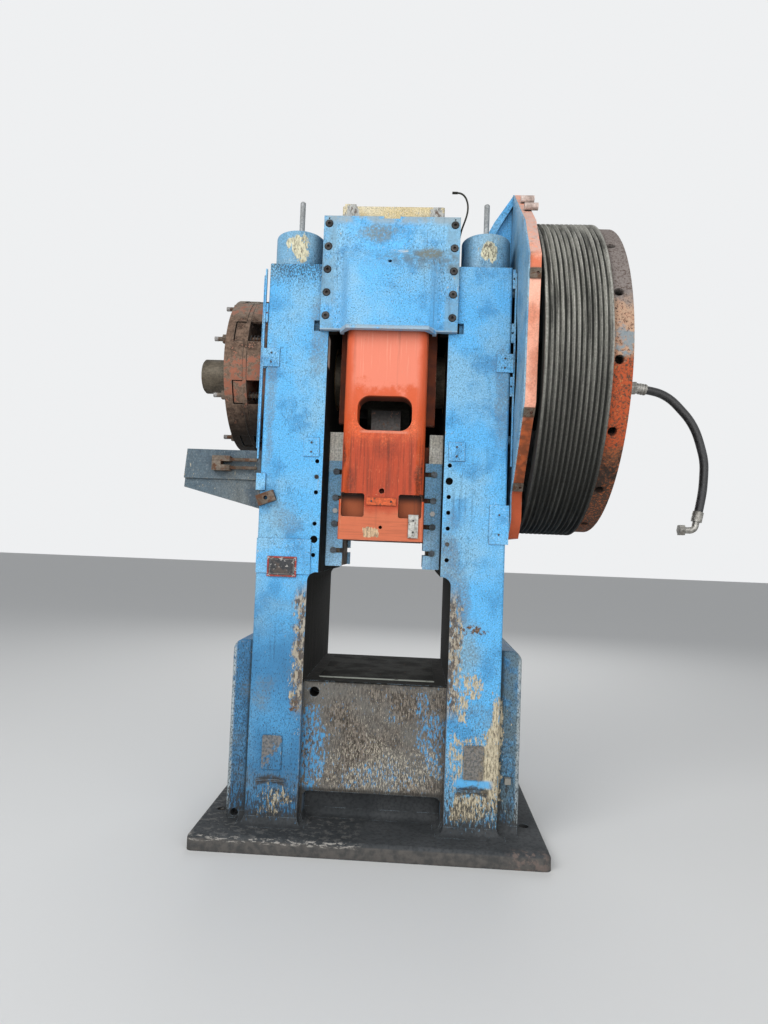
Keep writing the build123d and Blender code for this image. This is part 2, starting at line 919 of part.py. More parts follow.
def ram_body():
    """Return the ram: guided body, foot and the tall arm in front."""
    arm_sketch = outline(
        (-ram_width / 2, -ram_arm_back), (ram_width / 2, -ram_arm_back),
        (ram_width / 2, -ram_front), (-ram_width / 2, -ram_front),
    )
    arm = slab_top(arm_sketch, ram_bottom, ram_arm_top)
    front_edges = arm.edges().filter_by(Axis.Z).group_by(Axis.Y)[0]
    arm = fillet(front_edges, ram_corner_round)
    body = wide_block(ram_width, -ram_arm_back - 1, ram_rear, ram_bottom, ram_body_top)
    foot = wide_block(ram_foot_width, -ram_front, gib_front * 2, ram_bottom, ram_bottom + ram_foot_height)
    foot = fillet(foot.edges().filter_by(Axis.Z).group_by(Axis.Y)[0], ram_foot_round)
    guide = wide_block(
        ram_guide_width, -ram_guide_depth / 2, ram_guide_depth / 2, ram_bottom, ram_body_top
    )
    cheeks = wide_block(ram_width, -ram_arm_back - 1, -ram_flange_back, ram_flange_bottom, ram_arm_top)
    flanges = wide_block(
        ram_flange_width, -ram_flange_front, -ram_flange_back, ram_flange_bottom, ram_arm_top
    )
    channel = wide_block(
        2 * ram_cheek_inner, -ram_arm_back, -ram_flange_back, ram_flange_bottom, ram_arm_top
    )
    body += arm + foot + guide + (cheeks + flanges - channel)
    body -= wide_block(
        ram_pocket_width, -ram_pocket_half_depth, ram_pocket_half_depth,
        ram_pocket_floor, ram_body_top,
    )
    window = Pos(0, window_middle) * RectangleRounded(window_width, window_height, window_round)
    body -= slab_front(window, -ram_front, -ram_arm_back)
    return body


def ram_pieces():
    """Return the ram with its wrist pin, keepers and small plates."""
    body = ram_body()
    face = -ram_front
    for x in (-foot_pocket_x, foot_pocket_x):
        pocket = Pos(x, foot_pocket_level) * RectangleRounded(
            foot_pocket_width, foot_pocket_height, foot_pocket_round
        )
        body -= slab_front(pocket, face, face + foot_pocket_depth)
    body -= rod_y(ram_hole_radius, 0, face, face + ram_hole_depth, ram_upper_hole_level)
    body -= rod_y(ram_lower_hole_radius, 0, face, face + ram_hole_depth, ram_lower_hole_level)
    half = ram_guide_width / 2
    body -= rod_x(pin_radius, -half, half, 0, pin_level)
    nodes["ram"] = body
    pin_half = half - pin_keeper_thickness
    nodes["wrist_pin"] = rod_x(pin_radius, -pin_half, pin_half, 0, pin_level)
    keeper = rod_x(pin_keeper_radius, pin_half, half, 0, pin_level)
    nodes["pin_keepers"] = group(both_sides(keeper))
    bare = Pos(0, bare_plate_level) * Rectangle(bare_plate_width, bare_plate_height)
    steel = Pos(steel_plate_x, steel_plate_level) * Rectangle(steel_plate_width, steel_plate_height)
    plates = [slab_front(sketch, face - ram_plate_thickness, face) for sketch in (bare, steel)]
    plates.append(wide_block(
        ram_block_width, -ram_block_front, -ram_block_front + ram_block_depth,
        ram_body_top, ram_body_top + ram_block_height,
    ))
    nodes["ram_plates"] = group(plates)
    screws = []
    outer = face - ram_plate_thickness
    places = [(x, bare_plate_level) for x in (-bare_plate_width / 3, bare_plate_width / 3)]
    quarter = steel_plate_height / 4
    places += [(steel_plate_x, steel_plate_level + z) for z in (-quarter, quarter)]
    for x, z in places:
        screws.append(rod_y(plate_screw_radius, x, outer - plate_screw_height, outer, z))
    nodes["ram_plate_screws"] = group(screws)


def gib_pieces():
    """Return the guides on both sides of the ram, with their screws."""
    front_y = gib_front
    block_front = front_y - gib_plate_thickness
    wear = block(gib_face, slot_side, front_y, -front_y, gib_bottom, gib_split)
    upper = block(gib_face, slot_side, block_front, -block_front, gib_split, gib_top)
    plate_inner = gib_face - gib_plate_overlap
    plate = block(plate_inner, slot_side, block_front, front_y, gib_bottom, gib_split)
    middle = (plate_inner + slot_side) / 2
    slot_inner = slot_side - gib_slot_length
    screws, bolts = [], []
    for number in range(gib_slot_count):
        level = gib_slot_lowest + number * gib_slot_pitch
        low, high = level - gib_slot_height / 2, level + gib_slot_height / 2
        plate -= block(plate_inner, slot_inner + gib_slot_length / 2, block_front, front_y, low, high)
        x = slot_inner + gib_slot_length / 4
        shank = rod_y(gib_screw_radius, x, block_front, front_y, level)
        head = rod_y(gib_screw_head, x, block_front - gib_screw_height, block_front, level)
        screws.append(shank + head)
    hexagon = Pos(middle, gib_bolt_level) * RegularPolygon(gib_bolt_radius, 6)
    bolts.append(slab_front(hexagon, block_front - gib_bolt_height, block_front))
    front_set = screws + bolts
    nodes["side_gibs"] = group(both_sides(wear))
    nodes["upper_gibs"] = group(both_sides(upper))
    nodes["gib_plates"] = group(both_sides(plate) + both_sides(mirror_y(plate)))
    all_screws = []
    for piece in front_set:
        all_screws += both_sides(piece) + both_sides(mirror_y(piece))
    nodes["gib_screws"] = group(all_screws)


def window_blocks(radius_outer, x0, x1, count, phase, width):
    """Return the blocks that cut windows through a round shell."""
    blocks = []
    for number in range(count):
        angle = phase + 360 * number / count
        cutter = Pos(radius_outer, 0, 0) * Box(radius_outer / 2, width, x1 - x0)
        turned = Rot(0, 90, 0) * Rot(0, 0, angle) * cutter
        blocks.append(Pos((x0 + x1) / 2, 0, shaft_level) * turned)
    return blocks


def coil_spring(length):
    """Return one helical spring standing on Z = 0."""
    pitch = (length - 2 * spring_wire) / spring_turns
    coil_radius = spring_radius - spring_wire
    path = Helix(pitch=pitch, height=pitch * spring_turns, radius=coil_radius)
    section = Plane(origin=path @ 0, z_dir=path % 0) * Circle(spring_wire)
    return Pos(0, 0, spring_wire) * sweep(section, path=path)


def brake_pieces():
    """Return the spring-set disc brake on the left."""
    anchor = ring_x(brake_radius, journal_radius + 2, anchor_face, -side)
    spring_end = anchor_face - brake_spring_bay
    shell_inner = brake_radius - brake_shell_wall
    spring_ring = ring_x(brake_radius, shell_inner, spring_end, anchor_face)
    inset = brake_spring_bay / 6
    for cutter in window_blocks(
        brake_radius, spring_end - 1, anchor_face - inset,
        brake_window_count, brake_window_phase, brake_window_width,
    ):
        spring_ring -= cutter
    plate = ring_x(brake_radius - brake_step_gap, seat_radius + 12, plate_left, plate_right)
    disc = ring_x(brake_disc_radius, seat_radius, disc_left, disc_left + brake_disc_thickness)
    outer = rod_x(brake_radius, brake_left, plate_left - running_gap, 0, shaft_level)
    outer -= rod_x(shell_inner, disc_left - running_gap, plate_left, 0, shaft_level)
    outer -= rod_x(seat_radius + 12, brake_left, disc_left, 0, shaft_level)
    for cutter in window_blocks(
        brake_radius, plate_left - brake_window_reach, plate_left,
        brake_window_count, brake_window_phase, brake_window_width,
    ):
        outer -= cutter
    lug_left = plate_left - brake_lug_reach
    lug_ring = ring_x(brake_radius - brake_lug_gap, brake_lug_inner, lug_left, plate_right)
    for cutter in window_blocks(
        brake_radius, lug_left, plate_left + running_gap,
        brake_window_count, brake_window_phase, brake_window_width - 2 * brake_lug_gap,
    ):
        plate += lug_ring & cutter
    studs, springs = [], []
    stud_end = brake_left - brake_stud_reach
    nut_end = brake_left - brake_nut_height
    spring = coil_spring(brake_spring_bay)
    for _, y, z in around(brake_stud_circle, brake_window_count, brake_stud_phase):
        stud = rod_x(brake_stud_radius, stud_end, anchor_face, y, z)
        nut = hexagon_x(2 * brake_nut_radius, nut_end, brake_left, y, z)
        studs.append(stud + nut)
        springs.append(Pos(anchor_face, y, z) * Rot(0, -90, 0) * spring)
        plate -= rod_x(brake_stud_radius + 1, lug_left, plate_right, y, z)
        outer -= rod_x(brake_stud_radius, brake_left, plate_left, y, z)
    nodes["brake_anchor"] = anchor
    nodes["brake_spring_ring"] = spring_ring
    nodes["brake_springs"] = group(springs)
    nodes["brake_pressure_plate"] = plate
    nodes["brake_disc"] = disc
    nodes["brake_housing"] = outer
    nodes["brake_studs"] = group(studs)


def flywheel():
    """Return the grooved flywheel, turned round the shaft."""
    inner = wheel_radius - rim_wall
    points = [(wheel_left, inner), (wheel_left, wheel_radius)]
    x = wheel_left + groove_floor
    land = groove_pitch / 6
    for _ in range(groove_count):
        points.append((x + land / 2, wheel_radius))
        points.append((x + 2 * land, wheel_radius - groove_depth))
        points.append((x + groove_pitch - 2 * land, wheel_radius - groove_depth))
        points.append((x + groove_pitch - land / 2, wheel_radius))
        x += groove_pitch
    points.append((wheel_right, wheel_radius))
    points.append((wheel_right, ring_radius))
    points.append((wheel_right + ring_width, ring_radius))
    points.append((wheel_right + ring_width, ring_inner_radius))
    points.append((wheel_right, ring_inner_radius))
    points.append((web_right, inner))
    bore = seat_radius + bearing_wall
    points += [(web_right, hub_radius), (hub_right, hub_radius), (hub_right, bore)]
    points += [(wheel_left, bore), (wheel_left, hub_radius), (web_left, hub_radius), (web_left, inner)]
    plane = Plane(origin=(0, 0, shaft_level), x_dir=(1, 0, 0), z_dir=(0, -1, 0))
    wheel = revolve(plane * outline(*points), axis=Axis((0, 0, shaft_level), (1, 0, 0)))
    hole_x = wheel_right + barring_hole_inset
    for number in range(barring_hole_count):
        angle = barring_hole_phase + 360 * number / barring_hole_count
        drill = Cylinder(barring_hole_radius, barring_hole_depth + 2)
        drill = Pos(0, 0, ring_radius - barring_hole_depth / 2) * drill
        wheel -= Pos(hole_x, 0, shaft_level) * Rot(angle, 0, 0) * drill
    for _, y, z in around(web_hole_circle, web_hole_count):
        wheel -= rod_x(web_hole_radius, web_left, web_right, y, z)
    return wheel


def flywheel_pieces():
    """Return the flywheel, its bearings and the clutch round the shaft."""
    nodes["flywheel"] = flywheel()
    outer = seat_radius + bearing_wall
    bearings = []
    for start in (wheel_left + bearing_inset, hub_right - bearing_inset - bearing_width):
        bearings.append(ring_x(outer, seat_radius + running_gap, start, start + bearing_width))
    nodes["flywheel_bearings"] = group(bearings)
    bore = clutch_seat_radius + clutch_bore_gap
    drum = ring_x(clutch_radius, clutch_radius - clutch_wall, web_right, drum_right)
    nodes["clutch_drum"] = drum
    cover_right = drum_right + clutch_cover_thickness
    nodes["clutch_cover"] = ring_x(clutch_radius, bore, drum_right, cover_right)
    screws = []
    circle = clutch_radius - clutch_wall / 2
    for _, y, z in around(circle, clutch_screw_count):
        screws.append(rod_x(clutch_screw_head, cover_right, cover_right + clutch_screw_height, y, z))
    nodes["clutch_cover_screws"] = group(screws)
    hub_start = hub_right + clutch_bore_gap
    hub = ring_x(clutch_hub_radius, clutch_seat_radius, hub_start, hub_start + clutch_hub_width)
    disc_start = hub_start + clutch_hub_width / 3
    disc_end = disc_start + clutch_disc_thickness
    nodes["clutch_hub"] = hub
    nodes["clutch_disc"] = ring_x(clutch_disc_radius, clutch_hub_radius, disc_start, disc_end)
    plate_start = disc_end + clutch_travel + slide_gap
    plate_outer = clutch_radius - clutch_wall - slide_gap
    nodes["clutch_plate"] = ring_x(
        plate_outer, clutch_plate_bore, plate_start, plate_start + clutch_plate_thickness
    )


def guard_points(inset=0):
    """Return the guard's outline in Y and Z, drawn in by an inset."""
    half = [
        (guard_foot_y - inset, guard_foot_z + inset),
        (guard_knee_y - inset, guard_knee_bottom),
        (guard_knee_y - inset, guard_knee_top + inset / 2),
        (guard_front_low - inset, guard_side_bottom + inset / 2),
        (guard_front - inset, guard_side_top - inset / 2),
        (guard_shoulder_y - inset * cos(radians(45)), guard_shoulder_z - inset * sin(radians(45))),
        (guard_apex_y - inset / 2, guard_apex_z - inset),
    ]
    return [(-y, z) for y, z in half] + [(y, z) for y, z in reversed(half)]


def guard_pieces():
    """Return the guard, its strip, tabs, bosses, gussets and standoffs."""
    skin_right = guard_left + guard_skin
    plate = slab_side(outline(*guard_points()), guard_left, skin_right)
    plate -= rod_x(guard_bore_radius, guard_left, skin_right, 0, shaft_level)
    strip = slab_side(outline(*guard_points()), skin_right, guard_right)
    strip -= slab_side(outline(*guard_points(guard_strip)), skin_right, guard_right)
    nodes["guard_plate"] = plate
    nodes["guard_strip"] = strip
    standoffs = []
    for y in (-standoff_y, standoff_y):
        for row in range(standoff_rows):
            z = standoff_lowest + row * standoff_pitch
            standoffs.append(rod_x(standoff_radius, side, guard_left, y, z))
            plate -= rod_x(guard_boss_bore, guard_left, skin_right, y, z)
    nodes["guard_standoffs"] = group(standoffs)
    gusset = outline(
        (guard_left, guard_apex_z - guard_strip), (gusset_inner_x, gusset_inner_z),
        (gusset_foot_x, gusset_foot_top), (gusset_foot_x, frame_height), (guard_left, frame_height),
    )
    slab = slab_front(gusset, -gusset_y, -gusset_y + gusset_thickness)
    rise = gusset_flange_thickness
    band = outline(
        (guard_left, guard_apex_z - guard_strip), (gusset_inner_x, gusset_inner_z),
        (gusset_foot_x, gusset_foot_top), (gusset_foot_x + rise, gusset_foot_top - rise),
        (gusset_inner_x + rise, gusset_inner_z - rise),
        (guard_left, guard_apex_z - guard_strip - 2 * rise),
    )
    slab += slab_front(band, -gusset_y - gusset_flange / 2, -gusset_y + gusset_flange / 2)
    nodes["guard_gussets"] = group([slab, mirror_y(slab)])


def guard_trim_pieces():
    """Make the tabs on the guard's front strip and the bosses at its top."""
    points = [Vector(0, y, z) for y, z in guard_points()]
    edges = list(zip(points, points[1:]))
    tabs = []
    for level in guard_tab_levels:
        low, high = next((a, b) for a, b in edges if a.Z <= level < b.Z)
        along = (high - low).normalized()
        away = Vector(0, -along.Z, along.Y)
        middle = low + along * ((level - low.Z) / along.Z)
        half = along * (guard_tab_height / 2)
        rise = away * guard_tab_thickness
        corners = [middle - half, middle + half, middle + half + rise, middle - half + rise]
        tab = slab_side(outline(*[(c.Y, c.Z) for c in corners]), guard_left + guard_skin, guard_right)
        hole = Plane(origin=(guard_right - 2 * guard_skin, middle.Y, middle.Z), z_dir=away)
        tabs.append(tab - extrude(hole * Circle(guard_tab_hole), amount=2 * guard_tab_thickness))
    nodes["guard_tabs"] = group(tabs)
    start = Vector(0, -guard_apex_y, guard_apex_z)
    down = (Vector(0, -guard_shoulder_y, guard_shoulder_z) - start).normalized()
    away = Vector(0, down.Z, -down.Y)
    bosses = []
    for number in range(2):
        place = start + down * (guard_boss_first + number * guard_boss_pitch)
        centre = place + away * guard_boss_radius
        end = guard_boss_left + guard_boss_length
        boss = rod_x(guard_boss_radius, guard_boss_left, end, centre.Y, centre.Z)
        bosses.append(boss - rod_x(guard_boss_bore, guard_boss_left, end, centre.Y, centre.Z))
    nodes["guard_bosses"] = group(bosses)


def plate_on_front(x, level, width, height, thickness=small_plate_thickness, base=front):
    """Return a flat plate on a face that looks to the front."""
    sketch = Pos(x, level) * Rectangle(width, height)
    return slab_front(sketch, base - thickness, base)


def small_plates():
    """Return the small flat plates on the uprights, with their screws."""
    outer = front - small_plate_thickness
    latch_x = side - latch_plate_inset
    plates = [
        plate_on_front(name_panel_x, name_panel_level, name_panel_width, name_panel_height),
        plate_on_front(latch_x, latch_plate_level, latch_plate_width, latch_plate_height),
        plate_on_front(
            -side + step_block_inset, step_block_level,
            step_block_width, step_block_height, 2 * small_plate_thickness,
        ),
    ]
    corner_x = side + strip_gap - corner_plate_width / 2
    slot_x = slot_side + slot_plate_inset
    screw_places = [(latch_x, latch_plate_level, latch_plate_height)]
    for turn in (-1, 1):
        plates.append(plate_on_front(
            turn * corner_x, corner_plate_level, corner_plate_width, corner_plate_height
        ))
        plates.append(plate_on_front(
            turn * slot_x, slot_plate_level, slot_plate_width, slot_plate_height
        ))
        screw_places.append((turn * corner_x, corner_plate_level, corner_plate_height))
        screw_places.append((turn * slot_x, slot_plate_level, slot_plate_height))
    screws = []
    for x, z, height in screw_places:
        for step in (-height / 4, height / 4):
            screws.append(rod_y(plate_screw_radius, x, outer - plate_screw_height, outer, z + step))
    bolt_side = 2 * wing_bolt_radius
    screws.append(plate_on_front(
        wing_bolt_x, wing_bolt_level, bolt_side, bolt_side, wing_bolt_height, -wing_depth / 2
    ))
    nodes["nameplate"] = plate_on_front(
        name_frame_x, name_frame_level, name_frame_width, name_frame_height, plate_screw_height, outer
    )
    for turn, number in face_holes_screwed:
        level = face_hole_bottom + number * face_hole_pitch
        start, end = front - plate_screw_height, front + face_hole_depth / 2
        screws.append(rod_y(face_hole_radius, turn * face_hole_x, start, end, level))
    nodes["small_plates"] = group(plates)
    nodes["face_screws"] = group(screws)


def upright_pieces():
    """Make the leaning lug on the left upright and the strips on both sides."""
    sketch = Pos(lug_x, lug_level) * Rot(0, 0, lug_lean) * Rectangle(lug_width, lug_height)
    lug = slab_front(sketch, front - lug_reach, front)
    nodes["hook_lug"] = lug - rod_y(face_hole_radius, lug_x, front - lug_reach, front, lug_level)
    inner = side + strip_gap
    outer = inner + strip_thickness
    strip = block(inner, outer, front, front + strip_depth, strip_bottom, strip_top)
    half = strip_lug_height / 2
    lug_front = front + strip_depth / 4
    strips = []
    for levels in (left_lug_levels, right_lug_levels):
        piece = strip
        for level in levels:
            piece += block(side, inner, lug_front, front + strip_depth, level - half, level + half)
            piece -= rod_y(strip_lug_hole, side + strip_gap / 2, lug_front, front + strip_depth, level)
        strips.append(piece)
    left, right = strips
    pipe = rod_z(side_pipe_radius, -outer - side_pipe_radius, front + strip_depth / 2,
                 side_pipe_bottom, side_pipe_top)
    nodes["side_strips"] = group([right, mirror_x(left), pipe])


def bracket_pieces():
    """Return the bracket on the left side with its small valve."""
    low_x = -bracket_reach - bracket_lean
    top = bracket_top - bracket_wall
    plate = outline(
        (-side, bracket_bottom), (-side, bracket_top),
        (-bracket_reach, bracket_top), (low_x, bracket_bottom),
    )
    profile = outline(
        (-side, bracket_foot), (-side, bracket_top), (-bracket_reach, bracket_top), (low_x, bracket_tip),
    )
    inside = outline(
        (-side, bracket_foot + bracket_wall), (-side, top),
        (-bracket_reach + bracket_wall, top), (low_x + bracket_wall, bracket_tip + bracket_wall),
    )
    web_front = -bracket_front + bracket_wall
    solid = slab_front(profile, web_front, -bracket_back)
    hollow = slab_front(inside, web_front + bracket_wall, -bracket_back)
    middle = (bracket_reach + side) / 2
    rib = block(
        -middle - bracket_wall / 2, -middle + bracket_wall / 2,
        web_front, -bracket_back, bracket_foot, bracket_top,
    )
    nodes["side_bracket"] = slab_front(plate, -bracket_front, web_front) + (solid - hollow) + (rib & solid)
    y0 = -bracket_front - valve_depth
    half = valve_height / 2
    right = valve_left + valve_width
    body = block(valve_left, right, y0, -bracket_front, valve_level - half, valve_level + half)
    body -= block(right - valve_width / 2, right, y0, -bracket_front,
                  valve_level - half / 4, valve_level + half / 4)
    for rise in (-valve_rod_rise, valve_rod_rise):
        end = right + valve_rod_length
        body += rod_x(valve_rod_radius, right - valve_width / 4, end,
                      y0 + valve_depth / 2, valve_level + rise)
    nodes["bracket_valve"] = body


def lube_pipe():
    """Make the thin bent pipe that rises beside the crown."""
    y = lube_pipe_y
    path = Spline(
        (lube_pipe_foot_x, y, frame_height), (lube_pipe_lean_x, y, lube_pipe_lean_level),
        (lube_pipe_bow_x, y, lube_pipe_bow_level), (lube_tip_x, y, lube_tip_level),
        tangents=[(0, 0, 1), (-1, 0, 0)],
    )
    section = Plane(origin=path @ 0, z_dir=path % 0) * Circle(lube_pipe_radius)
    tip = rod_x(lube_tip_radius, lube_tip_x - lube_tip_length, lube_tip_x, y, lube_tip_level)
    nodes["lube_pipe"] = sweep(section, path=path) + tip


def bed_pieces():
    """Return the loose dark sheet that lies on the bed."""
    nodes["bed_liner"] = wide_block(
        liner_width, -liner_depth / 2, liner_depth / 2, bed_height, bed_height + liner_thickness
    )


def corner_radii(points, share=0.45):
    """Return the arc radius at each inner corner of a route."""
    radii = []
    for before, here, after in zip(points, points[1:], points[2:]):
        one = Vector(*here) - Vector(*before)
        two = Vector(*after) - Vector(*here)
        turn = radians(one.get_angle(two))
        radii.append(share * min(one.length, two.length) / tan(turn / 2))
    return radii


def air_feed_pieces():
    """Return the rotary union, its couplings and the air hose."""
    z = shaft_level
    rotor = rod_x(rotor_flange_radius, shaft_right_end, shaft_right_end + rotor_flange_thickness, 0, z)
    rotor += rod_x(rotor_radius, shaft_right_end - rotor_length, union_left + union_length / 2, 0, z)
    nodes["union_rotor"] = rotor
    body = rod_x(union_radius, union_left, union_right, 0, z)
    body = chamfer(body.edges(), union_gap * 2)
    body += rod_x(union_nose_radius, union_right, union_right + union_nose_length, 0, z)
    body -= rod_x(rotor_radius + running_gap, union_left, union_left + union_length / 2 + union_gap, 0, z)
    nodes["union_body"] = body
    nut_start = union_right + union_nose_length
    coupling = hexagon_x(coupling_nut_across, nut_start, coupling_bend_x, 0, z)
    ferrule = rod_x(ferrule_radius, 0, ferrule_length)
    for share in (0.3, 0.55, 0.8):
        x = share * ferrule_length
        ferrule += rod_x(ferrule_radius + ferrule_band_height, x, x + ferrule_band_height * 3)
    nodes["hose_coupling"] = coupling + Pos(coupling_bend_x, 0, z) * Rot(0, coupling_droop, 0) * ferrule
    radii = corner_radii(hose_route)
    path = FilletPolyline(*hose_route, radius=radii)
    section = Plane(origin=path @ 0, z_dir=path % 0) * Circle(hose_radius)
    hose = sweep(section, path=path)
    nodes["air_hose"] = hose
    print("hose radii", [round(radius) for radius in radii])
    print("hose length", round(path.length, 1))
    print("hose volume share", round(hose.volume / (path.length * section.area), 4))
    end = path @ 1
    down = (path % 1).normalized()
    nodes["hose_end"] = hose_end(end, down)


def hose_end(end, down):
    """Return the ferrule, elbow and nut at the hanging end of the hose."""
    frame = Plane(origin=end, x_dir=(0, 1, 0), z_dir=down)
    ferrule = extrude(frame * Circle(ferrule_radius), amount=end_ferrule_length)
    start = end + down * end_ferrule_length
    corner = start + down * elbow_drop
    tip = corner + Vector(-elbow_reach, 0, 0)
    path = FilletPolyline(start, corner, tip, radius=elbow_bend)
    section = Plane(origin=path @ 0, z_dir=path % 0) * Circle(elbow_radius)
    elbow = sweep(section, path=path)
    nut = hexagon_x(end_nut_across, tip.X - end_nut_length, tip.X, tip.Y, tip.Z)
    return ferrule + elbow + nut


def build():
    """Make every node and write it."""
    nodes["frame"] = frame_casting()
    tie_rod_pieces()
    front_cover_pieces()
    crown_cap_pieces()
    shaft_pieces()
    pitman_pieces()
    ram_pieces()
    gib_pieces()
    brake_pieces()
    flywheel_pieces()
    guard_pieces()
    guard_trim_pieces()
    small_plates()
    upright_pieces()
    bracket_pieces()
    lube_pipe()
    bed_pieces()
    air_feed_pieces()
    os.makedirs("parts", exist_ok=True)
    for name, shape in nodes.items():
        export_step(shape, f"parts/{name}.step")


build()
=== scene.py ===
"""Looks of the forging press: worn enamel, rust, screws, springs, threads and the air hose."""

import json
import logging
from dataclasses import dataclass, field
from enum import Enum
from math import cos, pi, radians, sin
from typing import Any, ClassVar

import bmesh
import bpy
from mathutils import Matrix, Vector

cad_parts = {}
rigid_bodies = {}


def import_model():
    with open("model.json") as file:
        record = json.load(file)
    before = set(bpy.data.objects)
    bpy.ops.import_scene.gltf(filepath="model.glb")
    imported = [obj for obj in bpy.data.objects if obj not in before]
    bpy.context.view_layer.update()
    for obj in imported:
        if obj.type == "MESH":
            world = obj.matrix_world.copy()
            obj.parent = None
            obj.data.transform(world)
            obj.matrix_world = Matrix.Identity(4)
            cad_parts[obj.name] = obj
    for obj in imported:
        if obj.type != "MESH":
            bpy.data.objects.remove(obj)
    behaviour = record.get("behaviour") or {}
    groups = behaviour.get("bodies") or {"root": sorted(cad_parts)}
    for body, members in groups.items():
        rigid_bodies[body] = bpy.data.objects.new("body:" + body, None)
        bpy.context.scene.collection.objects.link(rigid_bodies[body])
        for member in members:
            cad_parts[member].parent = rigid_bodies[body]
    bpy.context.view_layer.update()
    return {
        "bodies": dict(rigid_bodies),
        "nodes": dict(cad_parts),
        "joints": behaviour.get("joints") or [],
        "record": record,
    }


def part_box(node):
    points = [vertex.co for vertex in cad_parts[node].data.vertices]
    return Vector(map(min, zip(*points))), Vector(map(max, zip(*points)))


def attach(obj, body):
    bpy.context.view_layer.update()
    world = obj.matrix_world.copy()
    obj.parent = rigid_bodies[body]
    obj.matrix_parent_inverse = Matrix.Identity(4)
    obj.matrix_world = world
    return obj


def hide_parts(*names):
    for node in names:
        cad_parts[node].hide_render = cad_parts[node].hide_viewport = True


Color = tuple[float, float, float]
Place = tuple[float, float, float]
Socket = bpy.types.NodeSocket
Value = Any

log = logging.getLogger("forging_press")

MERGE_DISTANCE = 2e-5
FLAT_ANGLE = 0.4
SMOOTH_ANGLE = 32.0
END_TOLERANCE = 0.0006
END_REACH = 0.05
SHAFT_LEVEL = 2.482
UPRIGHT_SIDE = 0.638
DIE_SIDE = 0.369
FLANGE_TOP = 0.076


class Axis(Enum):
    """Direction that a pattern or a thread runs along."""

    X = 0
    Y = 1
    Z = 2


class Graph:
    """Adds and joins the nodes of one tree."""

    def __init__(self, tree: bpy.types.NodeTree) -> None:
        """Take the tree that the nodes go into."""
        self.tree = tree

    def feed(self, socket: Socket, value: Value) -> None:
        """Link a socket to another, or set its own value.

        Args:
            socket: The input to feed.
            value: A socket, a number, a vector or a colour.
        """
        if isinstance(value, bpy.types.NodeSocket):
            self.tree.links.new(value, socket)
        elif socket.type == "RGBA" and len(value) == 3:
            socket.default_value = (*value, 1.0)
        else:
            socket.default_value = value

    def node(self, kind: str, inputs: dict[Any, Value] | None = None, **settings: Value) -> bpy.types.Node:
        """Add a node.

        Args:
            kind: Its type's name.
            inputs: Values or sockets by input name or number.
            **settings: Its own settings.

        Returns:
            The node.
        """
        made = self.tree.nodes.new(kind)
        for name, value in settings.items():
            setattr(made, name, value)
        for key, value in (inputs or {}).items():
            self.feed(made.inputs[key], value)
        return made

    def math(self, operation: str, first: Value, second: Value = 0.0) -> Socket:
        """Return the result of a sum on one or two values."""
        return self.node("ShaderNodeMath", {0: first, 1: second}, operation=operation).outputs[0]

    def step(self, value: Value, low: float, high: float) -> Socket:
        """Return 0 below low, 1 above high and a soft rise between them. Low may be the higher one."""
        inputs = {0: value, 1: low, 2: high, 3: 0.0, 4: 1.0}
        return self.node("ShaderNodeMapRange", inputs, interpolation_type="SMOOTHSTEP").outputs[0]

    def band(self, value: Value, low: float, high: float, soft: float = 0.004) -> Socket:
        """Return 1 between low and high, with soft ends."""
        return self.both(self.step(value, low - soft, low + soft), self.step(value, high + soft, high - soft))

    def both(self, *masks: Value) -> Socket:
        """Return the product of the masks."""
        result = masks[0]
        for mask in masks[1:]:
            result = self.math("MULTIPLY", result, mask)
        return result

    def either(self, *masks: Value) -> Socket:
        """Return the highest of the masks."""
        result = masks[0]
        for mask in masks[1:]:
            result = self.math("MAXIMUM", result, mask)
        return result

    def total(self, *values: Value) -> Socket:
        """Return the sum of the values."""
        result = values[0]
        for value in values[1:]:
            result = self.math("ADD", result, value)
        return result

    def swing(self, pattern: Value, amount: float) -> Socket:
        """Return a pattern that swings to both sides of zero, by an amount."""
        return self.both(self.total(pattern, -0.5), amount)

    def mix(self, mask: Value, first: Value, second: Value) -> Socket:
        """Return a colour between two, by a mask."""
        inputs = {0: mask, 6: first, 7: second}
        return self.node("ShaderNodeMix", inputs, data_type="RGBA").outputs[2]

    def blend(self, mask: Value, first: Value, second: Value) -> Socket:
        """Return a number between two, by a mask."""
        inputs = {0: mask, 2: first, 3: second}
        return self.node("ShaderNodeMix", inputs, data_type="FLOAT").outputs[0]

    def stretch(self, vector: Socket, scale: Place) -> Socket:
        """Return a vector scaled along each axis."""
        inputs = {"Vector": vector, "Scale": scale}
        return self.node("ShaderNodeMapping", inputs).outputs[0]

    def noise(self, vector: Socket, scale: float, detail: float = 3.0, rough: float = 0.55) -> Socket:
        """Return a cloudy pattern from 0 to 1 whose lumps are 1 / scale metres wide."""
        inputs = {"Vector": vector, "Scale": scale, "Detail": detail, "Roughness": rough}
        return self.node("ShaderNodeTexNoise", inputs).outputs[0]


@dataclass(frozen=True)
class Mark:
    """One worn, dirty or painted-shade place on a front: its middle, its half width and height, and how
    strong it is.
    """

    x: float
    z: float
    wide: float
    high: float
    amount: float = 1.0


